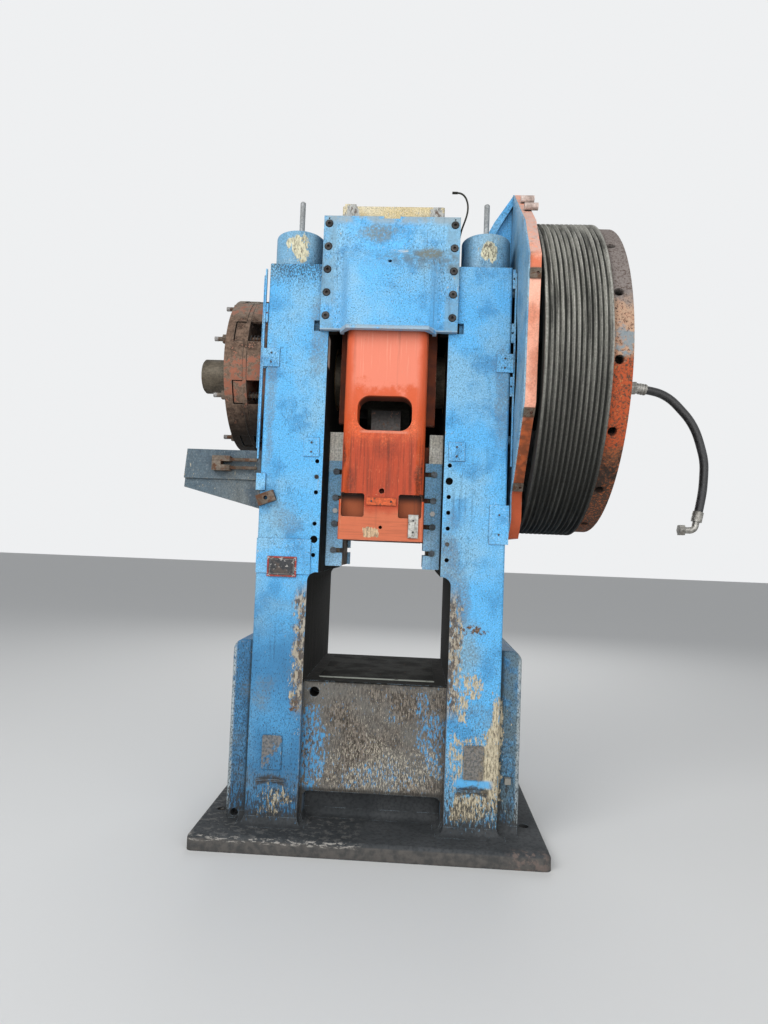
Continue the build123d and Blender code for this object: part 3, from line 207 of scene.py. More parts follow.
class Surface:
    """One material being laid coat by coat, with the patterns that its coats share."""

    def __init__(self, name: str, colour: Value, rough: Value, metal: Value = 0.0) -> None:
        """Start a material with its lowest coat.

        Args:
            name: The material's name.
            colour: The coat's colour.
            rough: Its roughness.
            metal: How metallic it is.
        """
        self.material = bpy.data.materials.new(name)
        self.material.use_nodes = True
        self.material.node_tree.nodes.clear()
        self.graph = Graph(self.material.node_tree)
        self.where = self.graph.node("ShaderNodeTexCoord").outputs["Object"]
        split = self.graph.node("ShaderNodeSeparateXYZ", {0: self.where})
        self.x, self.y, self.z = split.outputs
        self.across = self.graph.math("ABSOLUTE", self.x)
        self.deep = self.graph.math("ABSOLUTE", self.y)
        self.colour = colour
        self.rough = rough
        self.metal = metal
        self.height: Value = 0.0
        self.ragged: Socket | None = None

    def coat(
        self, mask: Value, colour: Value, rough: Value | None = None, metal: Value | None = None
    ) -> None:
        """Lay a colour over what is there.

        Args:
            mask: Where it lies, from 0 to 1.
            colour: Its colour.
            rough: Its roughness, or None to keep what is there.
            metal: How metallic it is, or None to keep what is there.
        """
        self.colour = self.graph.mix(mask, self.colour, colour)
        if rough is not None:
            self.rough = self.graph.blend(mask, self.rough, rough)
        if metal is not None:
            self.metal = self.graph.blend(mask, self.metal, metal)

    def shade(self, factor: Value) -> None:
        """Multiply the colour by a number."""
        inputs = {0: 1.0, 6: self.colour, 7: factor}
        self.colour = self.graph.node(
            "ShaderNodeMix", inputs, data_type="RGBA", blend_type="MULTIPLY"
        ).outputs[2]

    def grain(self, scale: float, dark: float, pale: float, detail: float = 3.0) -> None:
        """Make the colour uneven from lump to lump.

        Args:
            scale: How many lumps there are in a metre.
            dark: The factor in the darkest ones.
            pale: The factor in the palest ones.
            detail: How broken the lumps are.
        """
        mask = self.patches(scale, 0.34, 0.66, detail)
        self.shade(self.graph.mix(mask, (dark,) * 3, (pale,) * 3))

    def rise(self, mask: Value, amount: float) -> None:
        """Raise the surface by an amount, in shares of the bump's depth, where the mask says."""
        self.height = self.graph.total(self.height, self.graph.both(mask, amount))

    def noise(self, scale: float, detail: float = 3.0, rough: float = 0.55) -> Socket:
        """Return a cloudy pattern in the object's own space."""
        return self.graph.noise(self.where, scale, detail, rough)

    def drawn(self, scale: Place, detail: float = 5.0, rough: float = 0.62) -> Socket:
        """Return a cloudy pattern whose lumps are drawn out along an axis."""
        return self.graph.noise(self.graph.stretch(self.where, scale), 1.0, detail, rough)

    def patches(self, scale: float, low: float, high: float, detail: float = 3.0) -> Socket:
        """Return patches 1 / scale metres wide, where the noise passes low to high."""
        return self.graph.step(self.noise(scale, detail), low, high)

    def streaks(self, scale: float, low: float, high: float, axis: Axis = Axis.Z) -> Socket:
        """Return lines along an axis."""
        scales = [scale] * 3
        scales[axis.value] = scale / 26
        return self.graph.step(self.drawn(tuple(scales), 4.0, 0.6), low, high)

    def marked(self, marks: tuple[Mark, ...], front: float) -> Socket:
        """Return the ragged places that the marks name.

        Args:
            marks: The places.
            front: How far forward a face must be, as a level of y.

        Returns:
            How strongly each point is marked.
        """
        graph = self.graph
        if self.ragged is None:
            self.ragged = graph.swing(self.noise(9.0, 6.0, 0.66), 2.4)
        spots = []
        for mark in marks:
            off = graph.node("ShaderNodeCombineXYZ", {
                0: graph.math("DIVIDE", graph.total(self.x, -mark.x), mark.wide),
                1: graph.math("DIVIDE", graph.total(self.z, -mark.z), mark.high),
            }).outputs[0]
            reach = graph.node("ShaderNodeVectorMath", {0: off}, operation="LENGTH").outputs["Value"]
            spots.append(graph.both(graph.step(graph.total(reach, self.ragged), 1.15, 0.45), mark.amount))
        return graph.both(graph.either(*spots), graph.step(self.y, front + 0.006, front))

    def edges(self, radius: float = 0.006) -> Socket:
        """Return 1 on edges and 0 on open faces."""
        rounded = self.graph.node("ShaderNodeBevel", {"Radius": radius}, samples=4).outputs[0]
        plain = self.graph.node("ShaderNodeNewGeometry").outputs["Normal"]
        dot = self.graph.node("ShaderNodeVectorMath", {0: rounded, 1: plain}, operation="DOT_PRODUCT")
        return self.graph.step(dot.outputs["Value"], 0.985, 0.86)

    def crevices(self, reach: float = 0.05, open_level: float = 0.62) -> Socket:
        """Return 1 deep in corners and 0 on open faces, by how little light reaches them, so a dark coat laid
        by it is painted shade.
        """
        shade = self.graph.node("ShaderNodeAmbientOcclusion", {"Distance": reach}, samples=5)
        return self.graph.step(shade.outputs["AO"], open_level, 0.18)

    def finish(self, depth: float, bevel: float = 0.003, **shader: Value) -> bpy.types.Material:
        """Join everything to the shader.

        Args:
            depth: The bump's depth in metres.
            bevel: The radius that edges are rounded by, in metres.
            **shader: Constants for the shader's own sockets, with _ for a space.

        Returns:
            The material.
        """
        graph = self.graph
        normal = graph.node("ShaderNodeBevel", {"Radius": bevel}, samples=4).outputs[0]
        bump = graph.node("ShaderNodeBump", {"Height": self.height, "Distance": depth, "Normal": normal})
        inputs = {
            "Base Color": self.colour, "Roughness": self.rough,
            "Metallic": self.metal, "Normal": bump.outputs[0],
        }
        inputs.update({key.replace("_", " "): value for key, value in shader.items()})
        body = graph.node("ShaderNodeBsdfPrincipled", inputs)
        graph.node("ShaderNodeOutputMaterial", {"Surface": body.outputs[0]})
        return self.material


def show(name: str, data: bpy.types.ID) -> bpy.types.Object:
    """Put new data into the scene.

    Args:
        name: The object's name.
        data: Its mesh, curve, lamp or camera.

    Returns:
        The object.
    """
    made = bpy.data.objects.new(name, data)
    bpy.context.scene.collection.objects.link(made)
    return made


def show_smooth(
    shape: bmesh.types.BMesh, name: str, material: bpy.types.Material, angle: float
) -> bpy.types.Object:
    """Turn a worked shape into a piece that is smooth where it is round.

    Args:
        shape: The shape, which is used up.
        name: The piece's name.
        material: Its finish.
        angle: Edges sharper than this stay sharp, in degrees.

    Returns:
        The piece.
    """
    mesh = bpy.data.meshes.new(name)
    shape.to_mesh(mesh)
    shape.free()
    mesh.materials.append(material)
    mesh.shade_smooth()
    mesh.set_sharp_from_angle(angle=radians(angle))
    return show(name, mesh)


def scaled(colour: Color, factor: float) -> Color:
    """Return a darker or paler shade of a colour."""
    return tuple(min(1.0, factor * part) for part in colour)


@dataclass(frozen=True)
class Enamel:
    """Old enamel over a cream undercoat on a dirty casting."""

    name: str
    fresh: Color
    faded: Color
    deep: Color
    undercoat: Color = (0.56, 0.49, 0.35)
    bare: Color = (0.150, 0.120, 0.098)
    # Grime for the streaks, and painted shade in corners and joints.
    dirt_and_shade: Color = (0.030, 0.030, 0.028)
    fleck: Color = (0.040, 0.085, 0.125)
    pale_fleck: Color = (0.44, 0.58, 0.68)
    uneven: tuple[float, float] = (0.76, 1.20)
    wear: float = 0.06
    speckle: float = 0.6
    streak: float = 0.4
    gloss: float = 0.55
    sheen: float = 0.32
    shadow: float = 0.45
    front: float = -0.43
    worn: tuple[Mark, ...] = ()
    rusty: tuple[Mark, ...] = ()
    # Grease smudges, and painted shade on the ram's flares and in the cap's notch.
    smudged_and_shaded: tuple[Mark, ...] = ()
    smudge_and_shade: Color = (0.16, 0.155, 0.13)
    rust_pale: Color = (0.21, 0.125, 0.075)
    rust_dark: Color = (0.055, 0.045, 0.038)

    def build(self) -> bpy.types.Material:
        """Return the finished material."""
        surface = self.paint()
        self.flecks(surface)
        self.regions(surface)
        self.dirty_streaks(surface)
        self.smudges_and_shade(surface)
        self.chips(surface, self.loss(surface))
        self.bare_regions(surface)
        self.outlines(surface)
        self.texture(surface)
        return surface.finish(0.0016, Specular_IOR_Level=self.sheen)

    def paint(self) -> Surface:
        """Return the paint itself, cloudy with age and uneven from brush mark to brush mark."""
        surface = Surface(self.name, self.fresh, self.gloss)
        surface.coat(surface.patches(2.3, 0.42, 0.62, 4.0), self.faded)
        surface.coat(surface.graph.both(surface.patches(7.5, 0.48, 0.68, 5.0), 0.75), self.deep)
        surface.grain(150.0, *self.uneven, 5.0)
        return surface

    def flecks(self, surface: Surface) -> None:
        """Lay fine dark and pale flecks over the paint."""
        graph = surface.graph
        where = surface.patches(3.4, 0.34, 0.64)
        fine = graph.total(surface.drawn((175.0, 175.0, 105.0), 3.0, 0.7), graph.both(where, 0.06))
        dark = graph.both(graph.step(fine, 0.60, 0.69), self.speckle)
        surface.coat(dark, self.fleck, 0.75)
        pale = graph.both(
            graph.step(surface.drawn((140.0, 140.0, 80.0), 3.0), 0.605, 0.67), 0.6 * self.speckle
        )
        surface.coat(pale, self.pale_fleck)
        surface.rise(dark, -0.35)

    def regions(self, surface: Surface) -> None:
        """Lay what belongs to one place of the paint. Plain pieces have none."""

    def bare_regions(self, surface: Surface) -> None:
        """Lay what belongs to one place and has no paint left. Plain pieces have none."""

    def dirty_streaks(self, surface: Surface) -> None:
        """Let grime run down the faces."""
        lines = surface.streaks(40.0, 0.54, 0.72)
        mask = surface.graph.both(lines, surface.patches(1.8, 0.42, 0.66), self.streak)
        surface.coat(mask, self.dirt_and_shade, 0.75)

    def smudges_and_shade(self, surface: Surface) -> None:
        """Smear a dark coat over the places that the marks name: grease, and painted shade on the ram's
        flares and in the cap's notch.
        """
        if self.smudged_and_shaded:
            graph = surface.graph
            mask = graph.both(
                surface.marked(self.smudged_and_shaded, self.front), surface.patches(90.0, 0.26, 0.58, 5.0)
            )
            surface.coat(mask, self.smudge_and_shade, 0.6)

    def loss(self, surface: Surface) -> Socket:
        """Return how much the paint suffers at each place, from 0 to 1."""
        graph = surface.graph
        cloud = graph.both(surface.patches(2.6, 0.50, 0.74, 4.0), 0.22)
        edge = graph.both(surface.edges(), surface.patches(11.0, 0.40, 0.60), 0.55)
        return graph.total(cloud, edge, self.wear)

    def chips(self, surface: Surface, loss: Socket) -> None:
        """Take the paint off in fine upright flakes, down to the undercoat and in places to the casting.

        Args:
            surface: The material.
            loss: How much the paint suffers at each place.
        """
        graph = surface.graph
        flakes = graph.total(surface.drawn((78.0, 78.0, 27.0), 6.0, 0.70), graph.both(loss, 0.26))
        worn: Value = 0.0
        if self.worn:
            long = graph.blend(surface.drawn((34.0, 34.0, 4.0), 4.0), 0.55, 1.45)
            worn = graph.both(surface.marked(self.worn, self.front), long)
        undercoat = graph.step(graph.total(flakes, graph.both(worn, 0.30)), 0.69, 0.715)
        casting = graph.step(graph.total(flakes, graph.both(worn, 0.13)), 0.75, 0.78)
        streaky = graph.step(surface.drawn((120.0, 120.0, 30.0), 5.0, 0.72), 0.40, 0.56)
        mottled = graph.mix(streaky, scaled(self.undercoat, 0.42), self.undercoat)
        surface.coat(undercoat, mottled, 0.7)
        brown = graph.mix(surface.noise(24.0, 4.0), self.bare, scaled(self.bare, 0.5))
        surface.coat(graph.both(casting, 0.85), brown, 0.85)
        surface.rise(undercoat, -0.35)
        if self.rusty:
            places = surface.marked(self.rusty, self.front)
            rust = graph.step(
                graph.total(surface.noise(75.0, 6.0, 0.72), graph.both(places, 0.20)), 0.66, 0.70
            )
            tint = graph.mix(surface.patches(120.0, 0.42, 0.58), self.rust_pale, self.rust_dark)
            surface.coat(rust, tint, 0.9)

    def outlines(self, surface: Surface) -> None:
        """Darken corners and joints with grease and painted shade, and rub the edges pale."""
        graph = surface.graph
        pale = graph.both(surface.edges(0.004), surface.patches(16.0, 0.42, 0.60), 0.5)
        surface.coat(pale, self.pale_fleck, 0.7)
        # Painted shade with grease: the dark colour goes where little light reaches, broadly here and as thin
        # outlines on the next line.
        surface.coat(graph.both(surface.crevices(0.09, 0.80), self.shadow), self.dirt_and_shade, 0.8)
        surface.coat(graph.both(surface.crevices(0.014, 0.74), 0.9), scaled(self.dirt_and_shade, 0.6), 0.9)

    def texture(self, surface: Surface) -> None:
        """Give the casting its uneven skin."""
        surface.rise(surface.noise(17.0, 4.0), 1.7)
        surface.rise(surface.noise(95.0, 3.0), 0.5)


@dataclass(frozen=True)
class FrameEnamel(Enamel):
    """The frame's enamel, with the places that work, grease and feet have marked."""

    grease: Color = (0.042, 0.046, 0.049)
    # Oil, laid near black in the die space as painted shade too.
    oily: Color = (0.006, 0.006, 0.005)
    # Painted shade of the lower left and of the foot.
    shaded_low_blue: Color = (0.050, 0.190, 0.370)
    wing_blue: Color = (0.045, 0.150, 0.285)
    wing_grey: Color = (0.105, 0.175, 0.225)
    joint_line: Color = (0.022, 0.036, 0.045)
    rubbed_rim: Color = (0.42, 0.47, 0.48)
    black_specks: Color = (0.036, 0.046, 0.048)
    grime_grey: Color = (0.150, 0.170, 0.165)
    edge_brown: Color = (0.105, 0.085, 0.070)
    edge_cream: Color = (0.40, 0.35, 0.27)
    foot_dirt: Color = (0.046, 0.043, 0.040)
    pad_dark: Color = (0.105, 0.095, 0.080)
    pad_pale: Color = (0.215, 0.185, 0.150)
    # Grease and painted shadow on the ledges under the pads.
    ledge_grease_and_shadow: Color = (0.070, 0.062, 0.052)
    iron_dark: Color = (0.055, 0.047, 0.039)
    iron_pale: Color = (0.240, 0.205, 0.170)
    lime: Color = (0.50, 0.455, 0.36)
    pits: Color = (0.030, 0.027, 0.024)
    rim_grease: Color = (0.035, 0.034, 0.031)
    hem_grease: Color = (0.035, 0.033, 0.030)
    # Painted shade of holes.
    hole_shade_black: Color = (0.008, 0.008, 0.008)
    scale_dark: Color = (0.060, 0.057, 0.052)
    scale_pale: Color = (0.22, 0.21, 0.19)
    oil_runs: Color = (0.018, 0.016, 0.013)
    bare_strip: Color = (0.70, 0.70, 0.62)
    dust: Color = (0.070, 0.074, 0.077)
    dark_grease: Color = (0.022, 0.024, 0.026)
    side_dark: Color = (0.064, 0.064, 0.063)
    side_pale: Color = (0.112, 0.104, 0.096)
    pale_lines: Color = (0.36, 0.34, 0.31)
    scuffed: Color = (0.20, 0.150, 0.13)
    faint_marks: Color = (0.22, 0.22, 0.215)
    bed_blue: tuple[Mark, ...] = (
        Mark(-0.325, 0.44, 0.10, 0.30, 1.0), Mark(0.25, 0.66, 0.05, 0.12, 0.7),
        Mark(0.30, 0.48, 0.09, 0.24, 0.75), Mark(0.05, 0.33, 0.34, 0.10, 0.45),
        Mark(0.09, 0.66, 0.03, 0.12, 0.4),
    )
    bed_cream: tuple[Mark, ...] = (
        Mark(0.02, 0.36, 0.30, 0.16, 0.8), Mark(0.26, 0.36, 0.13, 0.14, 0.75),
        Mark(-0.22, 0.30, 0.12, 0.07, 0.6), Mark(0.02, 0.56, 0.32, 0.20, 0.25),
    )

    def regions(self, surface: Surface) -> None:
        """Darken the paint on the left and towards the floor with painted shade, darken it on the wings, and
        speckle it under the nuts.
        """
        graph = surface.graph
        # Painted shade: darker on the lower left and towards the floor, where less light falls.
        left = graph.both(graph.step(surface.z, 1.42, 0.85), graph.step(surface.x, 0.10, -0.15))
        surface.coat(
            graph.both(left, graph.blend(surface.patches(4.0, 0.35, 0.62, 4.0), 0.55, 0.95)), self.shaded_low_blue
        )
        foot = graph.both(graph.step(surface.z, 0.62, 0.12), graph.step(surface.x, 0.55, 0.30), 0.55)
        surface.coat(foot, scaled(self.shaded_low_blue, 0.75))
        wing = graph.both(graph.step(surface.across, 0.641, 0.645), graph.step(surface.z, 1.02, 0.98))
        mottle = graph.blend(surface.patches(40.0, 0.38, 0.62, 5.0), 0.45, 1.0)
        surface.coat(graph.both(wing, mottle), self.wing_blue)
        right = graph.both(wing, graph.step(surface.x, 0.0, 0.1), surface.patches(14.0, 0.34, 0.56, 5.0))
        surface.coat(right, self.wing_grey)
        joint = graph.both(
            wing, graph.step(surface.across, 0.668, 0.650), graph.step(surface.deep, 0.42, 0.43), 0.85
        )
        surface.coat(joint, self.joint_line, 0.85)
        rim = graph.both(
            wing, graph.step(surface.across, 0.724, 0.738), surface.patches(26.0, 0.26, 0.50, 5.0),
            graph.step(surface.deep, 0.415, 0.432),
        )
        surface.coat(graph.both(rim, 0.85), self.rubbed_rim, 0.7)
        top = graph.both(graph.step(surface.z, 2.78, 2.96), graph.step(surface.x, -0.30, -0.36), 0.14)
        low = graph.both(graph.step(surface.z, 1.30, 0.60), 0.062)
        specks = graph.total(
            surface.drawn((150.0, 150.0, 80.0), 5.0, 0.74), top, low, graph.both(wing, 0.045)
        )
        specks = graph.step(specks, 0.60, 0.65)
        surface.coat(graph.both(specks, 0.78), self.black_specks, 0.8)
        grime = graph.both(graph.step(surface.z, 1.45, 1.0), surface.patches(4.5, 0.50, 0.68, 5.0))
        grime = graph.both(grime, surface.patches(80.0, 0.34, 0.60, 5.0), 0.55)
        surface.coat(grime, self.grime_grey, 0.8)

    def bare_regions(self, surface: Surface) -> None:
        """Lay the bed's bare front, the greasy flange, the pads and the die space, black with oil and painted
        shade.
        """
        graph = surface.graph
        wobble = graph.swing(surface.noise(12.0, 5.0, 0.68), 0.16)
        self.inner_edges(surface, wobble)
        self.foot_specks(surface)
        self.pads(surface)
        self.bed_front(surface)
        self.die_walls(surface)
        self.flange(surface, wobble)

    def inner_edges(self, surface: Surface, wobble: Socket) -> None:
        """Rub the uprights' inner edges cream and brown beside the die space."""
        graph = surface.graph
        face = graph.both(
            graph.step(surface.deep, 0.485, 0.495), graph.step(surface.across, DIE_SIDE - 0.004, DIE_SIDE)
        )
        reach = graph.total(surface.across, wobble)
        beside = graph.both(face, graph.step(reach, 0.438, 0.402), graph.band(surface.z, 0.66, 1.27, 0.06))
        flakes = surface.drawn((75.0, 75.0, 30.0), 6.0, 0.68)
        brown = graph.mix(graph.step(flakes, 0.47, 0.56), self.edge_brown, self.edge_cream)
        kept = graph.step(surface.drawn((48.0, 48.0, 20.0), 5.0), 0.60, 0.54)
        surface.coat(graph.both(beside, kept, 0.95), brown, 0.85)

    def foot_specks(self, surface: Surface) -> None:
        """Let upright dark specks thicken towards the floor."""
        graph = surface.graph
        low = graph.both(graph.step(surface.y, -0.43, -0.44), graph.step(surface.z, 0.44, 0.10), 0.15)
        specks = graph.step(graph.total(surface.drawn((110.0, 110.0, 26.0), 5.0, 0.74), low), 0.595, 0.635)
        specks = graph.both(specks, graph.step(surface.z, 0.62, 0.42), 0.85)
        surface.coat(specks, self.foot_dirt, 0.85)

    def pads(self, surface: Surface) -> None:
        """Rub the pads to grey iron, and darken the ledges under them with grease and painted shadow."""
        graph = surface.graph
        raised = graph.both(
            graph.step(surface.y, -0.503, -0.505), graph.band(surface.across, 0.458, 0.562),
            graph.band(surface.z, 0.350, 0.524),
        )
        grey = graph.mix(surface.patches(75.0, 0.38, 0.60, 5.0), self.pad_dark, self.pad_pale)
        surface.coat(graph.both(raised, graph.step(surface.x, 0.0, 0.1), 0.93), grey, 0.8)
        slope = graph.total(
            graph.both(surface.x, -1.0), graph.both(surface.z, 0.8),
            graph.both(surface.noise(45.0, 6.0, 0.7), 0.30),
        )
        upper = graph.both(raised, graph.step(slope, 0.985, 1.02), graph.step(surface.x, -0.1, -0.2))
        surface.coat(graph.both(upper, 0.85), grey, 0.8)
        strip = graph.both(
            graph.step(surface.y, -0.49, -0.50), graph.band(surface.z, 0.312, 0.350, 0.008),
            graph.band(surface.x, 0.42, 0.60, 0.02), surface.patches(40.0, 0.30, 0.50, 4.0),
        )
        surface.coat(graph.both(strip, 0.9), self.fresh, 0.6)
        # Grease and painted shadow along the ledges under the pads.
        bow = graph.total(
            surface.z, graph.both(graph.math("ABSOLUTE", graph.total(surface.across, -0.51)), 0.30)
        )
        ledge = graph.both(
            graph.step(surface.y, -0.49, -0.50), graph.band(surface.across, 0.430, 0.590, 0.01),
            graph.band(bow, 0.288, 0.326, 0.006), surface.patches(60.0, 0.28, 0.52, 5.0),
        )
        surface.coat(graph.both(ledge, 0.85), self.ledge_grease_and_shadow, 0.85)

    def bed_front(self, surface: Surface) -> None:
        """Wear the bed's front to bare iron, with dithered blue and cream left on it."""
        graph = surface.graph
        face = graph.both(
            graph.step(surface.across, DIE_SIDE + 0.006, DIE_SIDE - 0.002), graph.step(surface.z, 0.81, 0.79),
            graph.step(surface.deep, 0.425, 0.435), graph.step(surface.z, 0.07, 0.10),
        )
        fine = surface.drawn((135.0, 135.0, 42.0), 6.0, 0.76)
        iron = graph.mix(graph.step(fine, 0.42, 0.62), self.iron_dark, self.iron_pale)
        scaly = surface.patches(5.0, 0.36, 0.64, 5.0)
        iron = graph.mix(scaly, iron, graph.mix(fine, self.scale_dark, self.scale_pale))
        surface.coat(face, iron, 0.85)
        blue_zone = surface.marked(self.bed_blue, self.front)
        dither = surface.drawn((90.0, 90.0, 36.0), 6.0, 0.76)
        blue = graph.both(face, graph.step(graph.total(dither, graph.both(blue_zone, 0.155)), 0.625, 0.66))
        surface.coat(graph.both(blue, 0.9), graph.mix(fine, scaled(self.deep, 0.7), self.fresh), 0.7)
        cream_zone = surface.marked(self.bed_cream, self.front)
        lime = surface.drawn((165.0, 165.0, 46.0), 4.0, 0.74)
        cream = graph.both(face, graph.step(graph.total(lime, graph.both(cream_zone, 0.125)), 0.615, 0.665))
        surface.coat(graph.both(cream, 0.85), self.lime, 0.8)
        dark = graph.both(face, graph.step(surface.drawn((120.0, 120.0, 52.0), 5.0, 0.74), 0.41, 0.36), 0.75)
        surface.coat(dark, self.pits, 0.85)
        rim = graph.both(
            face, graph.step(surface.z, 0.765, 0.79), surface.patches(30.0, 0.36, 0.55, 4.0), 0.65
        )
        surface.coat(rim, self.rim_grease, 0.7)
        hem = graph.both(face, graph.step(surface.z, 0.262, 0.244), 0.75)
        surface.coat(hem, self.hem_grease, 0.8)
        # Painted shade: a black patch on the bed's front stands for the dark inside of a hole.
        bore = graph.both(
            graph.step(surface.y, -0.4405, -0.437), graph.band(surface.x, -0.342, -0.272),
            graph.band(surface.z, 0.705, 0.772),
        )
        surface.coat(bore, self.hole_shade_black, 0.9)

    def die_walls(self, surface: Surface) -> None:
        """Blacken the walls of the die space and of the ram's slot with oil and painted shade."""
        graph = surface.graph
        die = graph.both(
            graph.step(surface.deep, 0.4985, 0.494), graph.step(surface.across, DIE_SIDE + 0.0015, DIE_SIDE),
            graph.step(surface.z, 0.786, 0.792), graph.step(surface.z, 2.972, 2.968),
        )
        # Oil and painted shade: the walls deep in the recess are laid near black.
        soot_and_shade = graph.mix(surface.streaks(26.0, 0.48, 0.7), self.oily, self.oil_runs)
        surface.coat(die, soot_and_shade, 0.9)
        pale = graph.both(
            die, graph.band(surface.z, 2.44, 2.60, 0.01), graph.band(surface.y, -0.47, -0.40),
            graph.step(surface.x, -0.3, -0.31), surface.patches(18.0, 0.30, 0.45),
        )
        surface.coat(pale, self.bare_strip, 0.6)

    def flange(self, surface: Surface, wobble: Socket) -> None:
        """Cover the base flange, the cove above it and the toe recess with black grease and dust."""
        graph = surface.graph
        fine = graph.swing(surface.drawn((80.0, 80.0, 26.0), 6.0, 0.72), 0.30)
        level = graph.total(surface.z, graph.both(wobble, 0.35), fine)
        base = graph.step(level, 0.150, 0.118)
        recess = graph.both(
            graph.step(surface.across, 0.358, 0.355), graph.step(surface.z, 0.24, 0.234),
            graph.step(surface.deep, 0.443, 0.440),
        )
        mask = graph.either(base, recess)
        dusty = graph.mix(surface.patches(4.0, 0.36, 0.68, 5.0), self.grease, self.dust)
        surface.coat(mask, dusty, graph.blend(surface.noise(8.0), 0.62, 0.9))
        uneven = graph.both(mask, surface.patches(60.0, 0.42, 0.66, 6.0), 0.45)
        surface.coat(uneven, self.dark_grease, 0.85)
        side = graph.both(mask, graph.step(surface.z, 0.066, 0.056))
        rough = graph.mix(surface.patches(34.0, 0.30, 0.66, 6.0), self.side_dark, self.side_pale)
        surface.coat(side, rough, 0.9)
        top_edge = graph.both(
            mask, graph.band(surface.z, 0.050, 0.074, 0.005), graph.step(surface.x, 0.0, -0.1)
        )
        lines = graph.both(top_edge, graph.step(surface.drawn((26.0, 26.0, 120.0), 6.0, 0.74), 0.52, 0.57))
        surface.coat(graph.both(lines, 0.85), self.pale_lines, 0.8)
        scuff = graph.both(graph.band(surface.x, 0.68, 0.86, 0.03), graph.step(surface.y, -0.60, -0.66))
        scuff = graph.both(mask, scuff, surface.patches(38.0, 0.46, 0.60, 6.0), 0.6)
        surface.coat(scuff, self.scuffed, 0.85)
        faint = graph.both(mask, graph.step(surface.drawn((50.0, 90.0, 90.0), 6.0, 0.72), 0.67, 0.70), 0.4)
        surface.coat(faint, self.faint_marks, 0.85)


@dataclass(frozen=True)
class CoverEnamel(Enamel):
    """The front cover's enamel, dusty on its edges and oily over its bulge."""

    dull_column: Color = (0.19, 0.33, 0.43)
    # Painted shade of the bulge's flanks.
    flank_shade_blue: Color = (0.055, 0.27, 0.56)
    dusty_rim: Color = (0.30, 0.36, 0.38)
    oily_band: Color = (0.125, 0.145, 0.135)
    worn_lip: Color = (0.34, 0.42, 0.47)
    scratched: Color = (0.55, 0.58, 0.58)

    def regions(self, surface: Surface) -> None:
        """Dull the rims, deepen the flanks of the bulge with painted shade, and smear oil over its shoulder.
        """
        graph = surface.graph
        column = graph.both(
            graph.step(surface.across, 0.275, 0.300), surface.patches(9.0, 0.30, 0.60, 4.0), 0.65
        )
        surface.coat(column, self.dull_column, 0.7)
        # Painted shade on the rounded flanks of the bulge.
        flank = graph.both(
            graph.band(surface.across, 0.210, 0.250, 0.03), graph.step(surface.z, 3.04, 2.90), 0.55
        )
        surface.coat(flank, self.flank_shade_blue)
        rim = graph.both(graph.step(surface.z, 3.165, 3.205), surface.patches(13.0, 0.34, 0.58, 4.0), 0.8)
        surface.coat(rim, self.dusty_rim, 0.8)
        level = graph.total(surface.z, graph.swing(surface.noise(7.0, 4.0), 0.10))
        band = graph.both(
            graph.band(level, 2.925, 3.035, 0.03), graph.step(surface.x, -0.24, 0.20),
            surface.patches(30.0, 0.30, 0.62, 4.0), 0.72,
        )
        surface.coat(band, self.oily_band, 0.6)
        lip = graph.both(graph.step(surface.z, 2.628, 2.620), surface.patches(20.0, 0.30, 0.5), 0.8)
        surface.coat(lip, self.worn_lip, 0.7)
        scratch = graph.both(
            graph.band(surface.x, 0.0, 0.09), graph.band(surface.z, 3.020, 3.046),
            graph.step(surface.drawn((20.0, 20.0, 190.0), 3.0), 0.50, 0.58),
        )
        surface.coat(graph.both(scratch, 0.9), self.scratched, 0.7)


